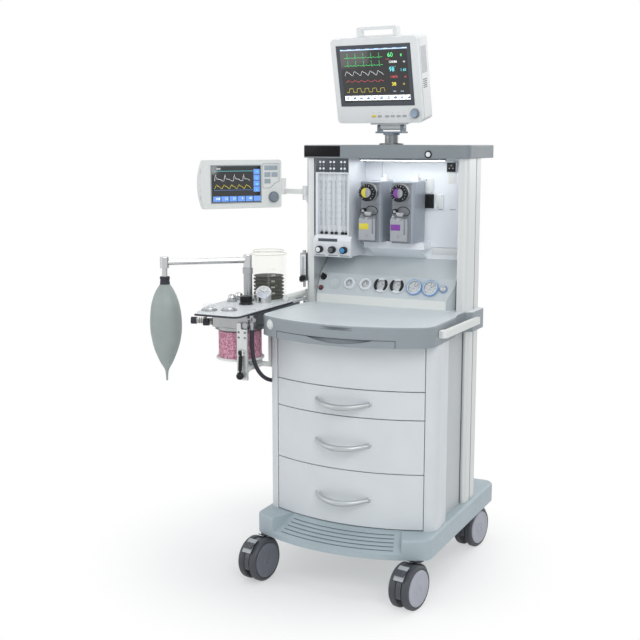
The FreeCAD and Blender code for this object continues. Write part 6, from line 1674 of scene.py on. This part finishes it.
# ---------------------------------------------------------------- work top and drawers
@dataclass
class WorkTop:
    """Seam round the pull-out tray, the top's raised bead and the flush button's ring."""

    front: float = 472.0
    bow: float = 532.0
    tray: tuple[float, float] = (-213.0, 197.0)

    def edge_y(self, x: float, inset: float = 0.0) -> float:
        """Y of the bowed front at x."""
        r = self.bow - inset
        return -(self.front - inset) + r - math.sqrt(r * r - x * x)

    def build(self) -> None:
        """All trims of the work top."""
        paint("work_top", WORK_LIGHT, lambda p, n: n.z > 0.9 and p.z > 872.0)
        self.seam()
        self.bead()
        self.button()

    def seam(self) -> None:
        """Dark shadow line along the tray front's top and ends, laid in the joint."""
        x0, x1 = self.tray
        steps = [x0 + (x1 - x0) * i / 24 for i in range(25)]
        line = [(x, self.edge_y(x) - 0.25, 834.3) for x in steps]
        ends = [[(x, self.edge_y(x) - 0.25, 811.6), (x, self.edge_y(x) - 0.25, 834.3)] for x in self.tray]
        wires = [Bench.wire(line, 0.8)] + [Bench.wire(e, 0.9 if i else 0.8) for i, e in enumerate(ends)]
        Bench.settle(wires, "writing_tray_seam", FLOOR, TRAY_SHADOW)

    def bead(self) -> None:
        """Soft step between the top's working face and its rolled rim."""
        steps = [-262 + 524 * i / 40 for i in range(41)]
        line = [(x, self.edge_y(x, 20.0), 876.0) for x in steps]
        line += [(276, -330, 876), (268, -200, 876), (254, -110, 876)]
        line = [(-254, -110, 876), (-268, -200, 876), (-276, -330, 876)] + line
        Bench.settle(Bench.wire(line, 0.9, sides=2), "work_top_bead", FLOOR, WORK_LIGHT)

    def button(self) -> None:
        """White ring round the flush button."""
        x, z = -246.0, 850.0
        y = self.edge_y(x)
        slope = math.atan2(x, math.sqrt(self.bow ** 2 - x * x))
        seat = Seat((x, y, z), (math.cos(slope), math.sin(slope), 0.0))
        ring = Bench.turned([(16.4, -0.8), (16.4, 0.8), (15.4, 1.6), (13.4, 1.6), (12.6, 0.8),
                             (12.6, -0.8)], 48)
        Bench.settle(ring, "flush_button_ring", seat, MONITOR_WHITE)


@dataclass
class Drawers:
    """Swelling grips and pressed feet of the bow handles."""

    levels: tuple[tuple[str, float], ...] = (("lower", 303.0), ("middle", 482.0), ("upper", 615.5))
    half: float = 90.0
    front: float = -390.0
    reach: float = 34.0

    def build(self) -> None:
        """A grip and two feet for each handle, and the handle painted silver."""
        ends = self.face_y(self.half)
        for name, z in self.levels:
            node = "drawer_" + name
            paint(node, HANDLE_SILVER, lambda p, n, z=z: abs(p.x) < 100 and abs(p.z - z) < 22
                  and p.y < self.face_y(p.x) - 0.6)
            grip = []
            for i in range(21):
                share = -1 + i / 10
                x = share * (self.half - 2)
                bow = 1 - share * share
                grip.append((x, ends - 6.0 - (ends - self.front + self.reach) * bow, z - 9.0 * bow,
                             6.4 + 3.6 * bow))
            bar = Bench.tapered_wire(grip)
            Bench.settle(bar, "drawer_handle_grip_" + name, FLOOR, HANDLE_SILVER, node, 60)
            feet = []
            for side in (-1, 1):
                foot = Bench.turned([(9.2, -0.6), (9.2, 0.8), (7.4, 2.6), (6.2, 3.0), (6.2, -0.6)], 28)
                foot.data.transform(Matrix.Rotation(math.radians(90), 4, "X"))
                foot.data.transform(Matrix.Translation((side * self.half, ends, z)))
                feet.append(foot)
            Bench.settle(feet, "drawer_handle_feet_" + name, FLOOR, HANDLE_SILVER, node)

    def face_y(self, x: float) -> float:
        """Y of the bowed drawer fronts at x."""
        return self.front + DRAWER_BOW - math.sqrt(DRAWER_BOW ** 2 - x * x)


# ---------------------------------------------------------------- casters
@dataclass
class CasterTrim:
    """Wheel discs with a raised ring and hub cap (a darker disc finish where painted shade is wanted), tread
    grooves and a painted highlight on the fork's hood.
    """

    place: str
    stem: tuple[float, float]
    # disc finish; the darker copy given to one caster is painted shade
    disc: Finish = field(default_factory=lambda: CASTER_LIGHT)
    radius: float = 70.0
    hood: float = 76.0
    trail: tuple[float, float] = (-7.99, -45.3)

    def patch(self, hub: Vector, axle: Vector) -> None:
        """Painted highlight on the fork's glossy hood: a lighter band bent round the wheels."""
        seat = toward(tuple(hub), tuple(axle))
        ahead = -1 if seat.matrix().col[0].y > 0 else 1
        angles = (0.52, 0.66, 0.80, 0.94, 1.08, 1.22)
        bow = arc(self.hood + 1.4, angles) + arc(self.hood - 0.6, reversed(angles))
        piece = Bench.outline([(ahead * x, y) for x, y in bow], -17.0, 17.0)
        # painted highlight: the lighter band on the hood stands in for its shine
        Bench.settle(piece, "caster_window_" + self.place, seat, CASTER_HOOD_HIGHLIGHT, "caster_" + self.place)

    def build(self) -> None:
        """Discs and tread for both wheels, and the hood's painted highlight."""
        turn = math.radians(CASTER_PAN)
        axle = Vector((math.cos(turn), math.sin(turn), 0.0))
        hub = Vector((self.stem[0] + self.trail[0], self.stem[1] + self.trail[1], self.radius))
        body = "wheels_" + self.place
        self.patch(hub, axle)
        for side, name in ((-1, "left"), (1, "right")):
            out = axle * side
            right = Vector((0, 0, 1)).cross(out)
            seat = Seat(tuple(hub + out * 11.0), tuple(right), (0, 0, 1))
            disc = Bench.turned([(57.5, 20.0), (57.5, 24.6), (55.5, 26.2), (50.0, 26.6), (46.0, 25.0),
                                 (30.0, 24.6), (20.0, 25.4), (17.0, 27.2), (14.0, 27.6), (12.6, 26.4),
                                 (6.0, 26.2), (4.6, 25.2), (0.0, 25.2)], 72)
            Bench.settle(disc, "caster_disc_%s_%s" % (self.place, name), seat, self.disc, body, 25)
            groove = Bench.block((-0.8, self.radius - 1.0, 3.5), (0.8, self.radius + 0.22, 18.5), 0.0)
            Bench.settle(Bench.ring_of(groove, 48), "caster_tread_%s_%s" % (self.place, name),
                         seat, TYRE, body)


# ---------------------------------------------------------------- breathing system
@dataclass
class BreathingSystem:
    """Absorber's small pieces: plate edge, valve covers, gauge face, ports, screws and fittings."""

    plate_z: float = PLATE_Z
    check_valves: tuple[tuple[float, float], ...] = ((-462.0, -430.0), (-404.0, -402.0))
    inlets: tuple[tuple[float, float], ...] = ((-500.0, -221.0), (-503.0, -168.0))
    hose_ports: tuple[tuple[float, float], ...] = ((-556.0, -372.0), (-500.0, -385.0))
    airway_gauge: tuple[float, float] = (-391.0, -192.0)
    gauge_turn: float = 26.0
    limit_valve: tuple[float, float] = (-418.0, -266.0)
    canister_middle: tuple[float, float] = (-405.0, -330.0)

    def build(self) -> None:
        """All pieces of the breathing system."""
        self.plate_edge()
        self.valves()
        self.gauge()
        self.ports()
        self.clamp()
        self.knob()
        self.canister()
        self.arm()

    def plate_edge(self) -> None:
        """Black gasket line round the plate under a thin pale top sheet."""
        x0, y0, x1 = -530.0, -500.0, -316.0
        loop = [(x0, -330.0), (x0 + 57, y0), (x1 - 24, y0)]
        loop += [(x1 - 24 + 24 * math.sin(a), y0 + 24 - 24 * math.cos(a)) for a in (0.4, 0.8, 1.2, 1.57)]
        loop += [(x1, -120.0)]
        line = Bench.wire([(x, y, 878.4) for x, y in loop], 3.2, sides=3)
        Bench.settle(line, "manifold_plate_gasket", FLOOR, BLACK_RUBBER)
        screws = [Bench.shift(Bench.screw(4.2), x, y) for x, y in
                  ((-512.0, -330.0), (-474.0, -478.0), (-338.0, -484.0), (-332.0, -360.0), (-332.0, -240.0),
                   (-505.0, -110.0), (-345.0, -120.0))]
        Bench.settle(screws, "manifold_plate_screws", facing_up(0, 0, self.plate_z), STEEL)

    def valves(self) -> None:
        """Clear covers and knurled rings of the two check valves, and the inlets' collars."""
        r, h = 20.0, 13.0
        for i, (x, y) in enumerate(self.check_valves):
            seat = facing_up(x, y, self.plate_z)
            ring = Bench.turned([(r + 5.5, 0.0), (r + 5.5, 4.0), (r + 4.2, 5.6), (r + 0.6, 5.6),
                                 (r + 0.4, 0.0)], 48)
            Bench.settle(ring, "check_valve_ring_%d" % (i + 1), seat, SATIN_STEEL)
            knurl = Bench.ring_of(Bench.block((-0.7, r + 5.2, 0.4), (0.7, r + 6.1, 3.8), 0.25), 40)
            Bench.settle(knurl, "check_valve_knurl_%d" % (i + 1), seat, SATIN_STEEL)
            dome = Bench.turned([(r + 2.6, 5.4), (r + 2.6, h + 3.0), (r + 0.8, h + 6.4), (r - 5.0, h + 8.6),
                                 (0.0, h + 9.4)], 48)
            Bench.settle(dome, "check_valve_cover_%d" % (i + 1), seat, GLASS, smooth=60)
        for i, (x, y) in enumerate(self.inlets):
            seat = facing_up(x, y, self.plate_z)
            ring = Bench.turned([(17.4, 0.0), (17.4, 5.4), (16.2, 7.0), (14.4, 7.0), (14.2, 0.0)], 40)
            Bench.settle(ring, "inlet_collar_%d" % (i + 1), seat, SATIN_STEEL)

    def gauge(self) -> None:
        """Slanted face of the airway pressure gauge with its ring, scale and needle."""
        turn = math.radians(self.gauge_turn)
        ahead = Vector((math.sin(turn), -math.cos(turn), 0.0))
        right = Vector((0, 0, 1)).cross(ahead)
        up = Vector((0, 0, 1)) - ahead * 0.8
        seat = Seat((*self.airway_gauge, self.plate_z + 34.0), tuple(right), tuple(up))
        ring = Bench.turned([(26.0, -6.0), (26.0, 1.6), (24.6, 3.4), (22.6, 3.4), (21.6, 1.8), (21.6, 0.4),
                             (0.0, 0.4)], 48)
        Bench.settle(ring, "airway_gauge_face", seat, MONITOR_WHITE, smooth=30)
        marks = [Bench.shift(Bench.block((-0.35, 15.6, 0.4), (0.35, 19.6, 0.7), 0.0), turn=130 - i * 13)
                 for i in range(21)]
        marks += [Bench.shift(Bench.block((-0.6, -3.0, 0.6), (0.6, 16.0, 1.2), 0.0), turn=48),
                  Bench.turned([(2.4, 0.4), (2.4, 1.8), (0.0, 1.8)], 16)]
        marks += [Bench.figures(words, 5.6, 11.8 * math.cos(a), 11.8 * math.sin(a), 0.5) for words, a in
                  (("0", math.radians(220)), ("20", math.radians(150)), ("40", math.radians(90)),
                   ("60", math.radians(30)), ("80", math.radians(-40)))]
        Bench.settle(marks, "airway_gauge_scale", seat, PRINT_BLACK)

    def ports(self) -> None:
        """Knurled brassy sleeves and black push-on caps of the two hose ports."""
        for i, (x, y) in enumerate(self.hose_ports):
            seat = toward((x + 8.0, y, PORT_Z), (x + 470.0, -32.0, 0.0))
            paint("breathing_manifold", BLACK_RUBBER,
                  lambda p, n, x=x, y=y: p.x < x + 8.6 and (p - Vector((x, y, PORT_Z))).length < 26)
            knurl = Bench.ring_of(Bench.block((-0.8, 11.4, -34.0), (0.8, 12.6, -23.0), 0.3), 28)
            Bench.settle(knurl, "hose_port_knurl_%d" % (i + 1), seat, BRASSY)
            bands = [Bench.turned([(8.4, z), (10.6, z + 0.8), (10.6, z + 3.0), (8.4, z + 3.8)], 36)
                     for z in (-18.0, -11.0)]
            Bench.settle(bands, "hose_port_bands_%d" % (i + 1), seat, BRASSY)

    def clamp(self) -> None:
        """Four dark screws on the lift clamp's plate."""
        seat = facing_front(0, -424.0, 0)
        screws = [Bench.shift(Bench.screw(3.6), x, z, 0.0) for x in (-356.0, -333.0) for z in (818.0, 800.0)]
        Bench.settle(screws, "canister_clamp_screws", seat, DARK_PLASTIC)

    def knob(self) -> None:
        """Fluted skirt, ring and marks of the pressure limiting valve."""
        seat = facing_up(*self.limit_valve, self.plate_z)
        flutes = Bench.ring_of(Bench.block((-1.1, 19.0, 9.5), (1.1, 20.4, 26.0), 0.4), 24)
        Bench.settle(flutes, "apl_knob_flutes", seat, DARK_PLASTIC, "apl_knob")
        ring = Bench.turned([(25.6, 0.0), (25.6, 1.6), (24.6, 2.2), (23.4, 2.2), (23.2, 0.0)], 48)
        Bench.settle(ring, "apl_scale_ring", seat, SATIN_STEEL)
        marks = [Bench.shift(Bench.block((-0.35, 18.0, 29.9), (0.35, 21.0, 30.3), 0.0), turn=-i * 30.0)
                 for i in range(10)]
        Bench.settle(marks, "apl_knob_marks", seat, DIAL_WHITE, "apl_knob")

    def canister(self) -> None:
        """Moulded rings and the foot of the absorber canister."""
        seat = facing_up(*self.canister_middle, 0.0)
        rings = [Bench.turned([(76.4, z), (77.6, z + 1.0), (77.6, z + 4.0), (76.4, z + 5.0)], 64)
                 for z in (726.0, 796.0)]
        Bench.settle(rings, "canister_rings", seat, CLEAR)
        base = Bench.turned([(60.0, 714.0), (79.0, 714.0), (80.4, 716.0), (80.4, 719.0), (79.0, 721.0),
                             (60.0, 721.0)], 72)
        Bench.settle(base, "canister_foot", seat, LIGHT_MOULDING)

    def arm(self) -> None:
        """Bag arm's black end with its band, and the plate's steel top sheet."""
        seat = facing_up(*BAG_NECK, 0.0)
        paint("bag_arm", BLACK_RUBBER, lambda p, n: p.z < 978.0)
        paint("manifold_plate", SATIN_STEEL, lambda p, n: p.z > 889.0 or (p.z > 885.0 and abs(n.z) < 0.9))
        band = Bench.turned([(15.6, 951.5), (17.0, 953.4), (17.0, 958.0), (16.0, 960.0), (16.0, 970.0),
                             (17.0, 972.0), (17.0, 977.0), (15.4, 979.0)], 48)
        Bench.settle(band, "bag_collar_band", seat, BLACK_RUBBER, "bag_arm")


# ---------------------------------------------------------------- auxiliary flowmeter
@dataclass
class AuxiliaryFlowmeter:
    """Tube, scale and knob of the flowmeter on the left column."""

    x: float = -304.0
    front: float = -60.0

    def build(self) -> None:
        """Scale strip, glass front and the black knob below."""
        seat = facing_front(self.x, self.front, 948.0)
        strip = Bench.block((-9.0, 22.0, -0.3), (9.0, 92.0, 0.8), 0.5)
        Bench.settle(strip, "auxiliary_scale", seat, DIAL_WHITE)
        marks = [Bench.block((1.5, 28.0 + i * 4.0, 0.8), (7.0 if i % 3 == 0 else 5.0, 28.8 + i * 4.0, 1.1),
                             0.0) for i in range(15)]
        Bench.settle(marks, "auxiliary_marks", seat, PRINT_BLACK)
        tube = Bench.turned([(3.4, 0.0), (3.4, 70.0), (2.8, 70.6), (0.0, 70.6)], 20)
        tube.data.transform(Matrix.Rotation(math.radians(-90), 4, "X"))
        Bench.settle(Bench.shift(tube, -3.0, 22.0, 2.0), "auxiliary_tube", seat, GLASS)
        knob = Bench.turned([(6.0, 0.0), (6.0, 2.0), (9.4, 3.0), (9.8, 5.0), (9.8, 13.0), (8.8, 14.4),
                             (0.0, 14.4)], 28)
        Bench.settle(Bench.shift(knob, 0.0, 10.0), "auxiliary_knob", seat, DARK_PLASTIC)
        flutes = Bench.ring_of(Bench.block((-0.7, 9.4, 4.0), (0.7, 10.4, 13.0), 0.25), 18)
        Bench.settle(Bench.shift(flutes, 0.0, 10.0), "auxiliary_knob_flutes", seat, DARK_PLASTIC)


def main() -> None:
    """Builds the studio, the hose, the finishes and every sub-assembly in order."""
    logging.basicConfig(level=logging.INFO, format="%(name)s: %(message)s")
    Studio().build()
    BreathingHose().build()
    dress_nodes()
    for unit in UNITS:
        log.info("building %s", type(unit).__name__)
        unit.build()
    bpy.context.view_layer.update()


UNITS: list = [
    Monitor(), VentilatorDisplay(), BreathingBag(), Bellows(), GaugeConsole(), FlowmeterBank(),
    VaporizerTrim("left", -51.0, (0.72, 0.62, 0.06)), VaporizerTrim("right", 64.0, (0.22, 0.05, 0.34)),
    InstrumentBay(), BaseTrim(), WorkTop(), Drawers(),
    # painted shade: the front left caster's discs get the darker copy of the disc finish
    CasterTrim("front_left", (-266.0, -402.0), CASTER_DISC_SHADE), CasterTrim("front_right", (266.0, -402.0)),
    CasterTrim("rear_left", (-266.0, 203.0)), CasterTrim("rear_right", (266.0, 203.0)),
    BreathingSystem(), AuxiliaryFlowmeter(),
]

if __name__ == "__main__":
    main()
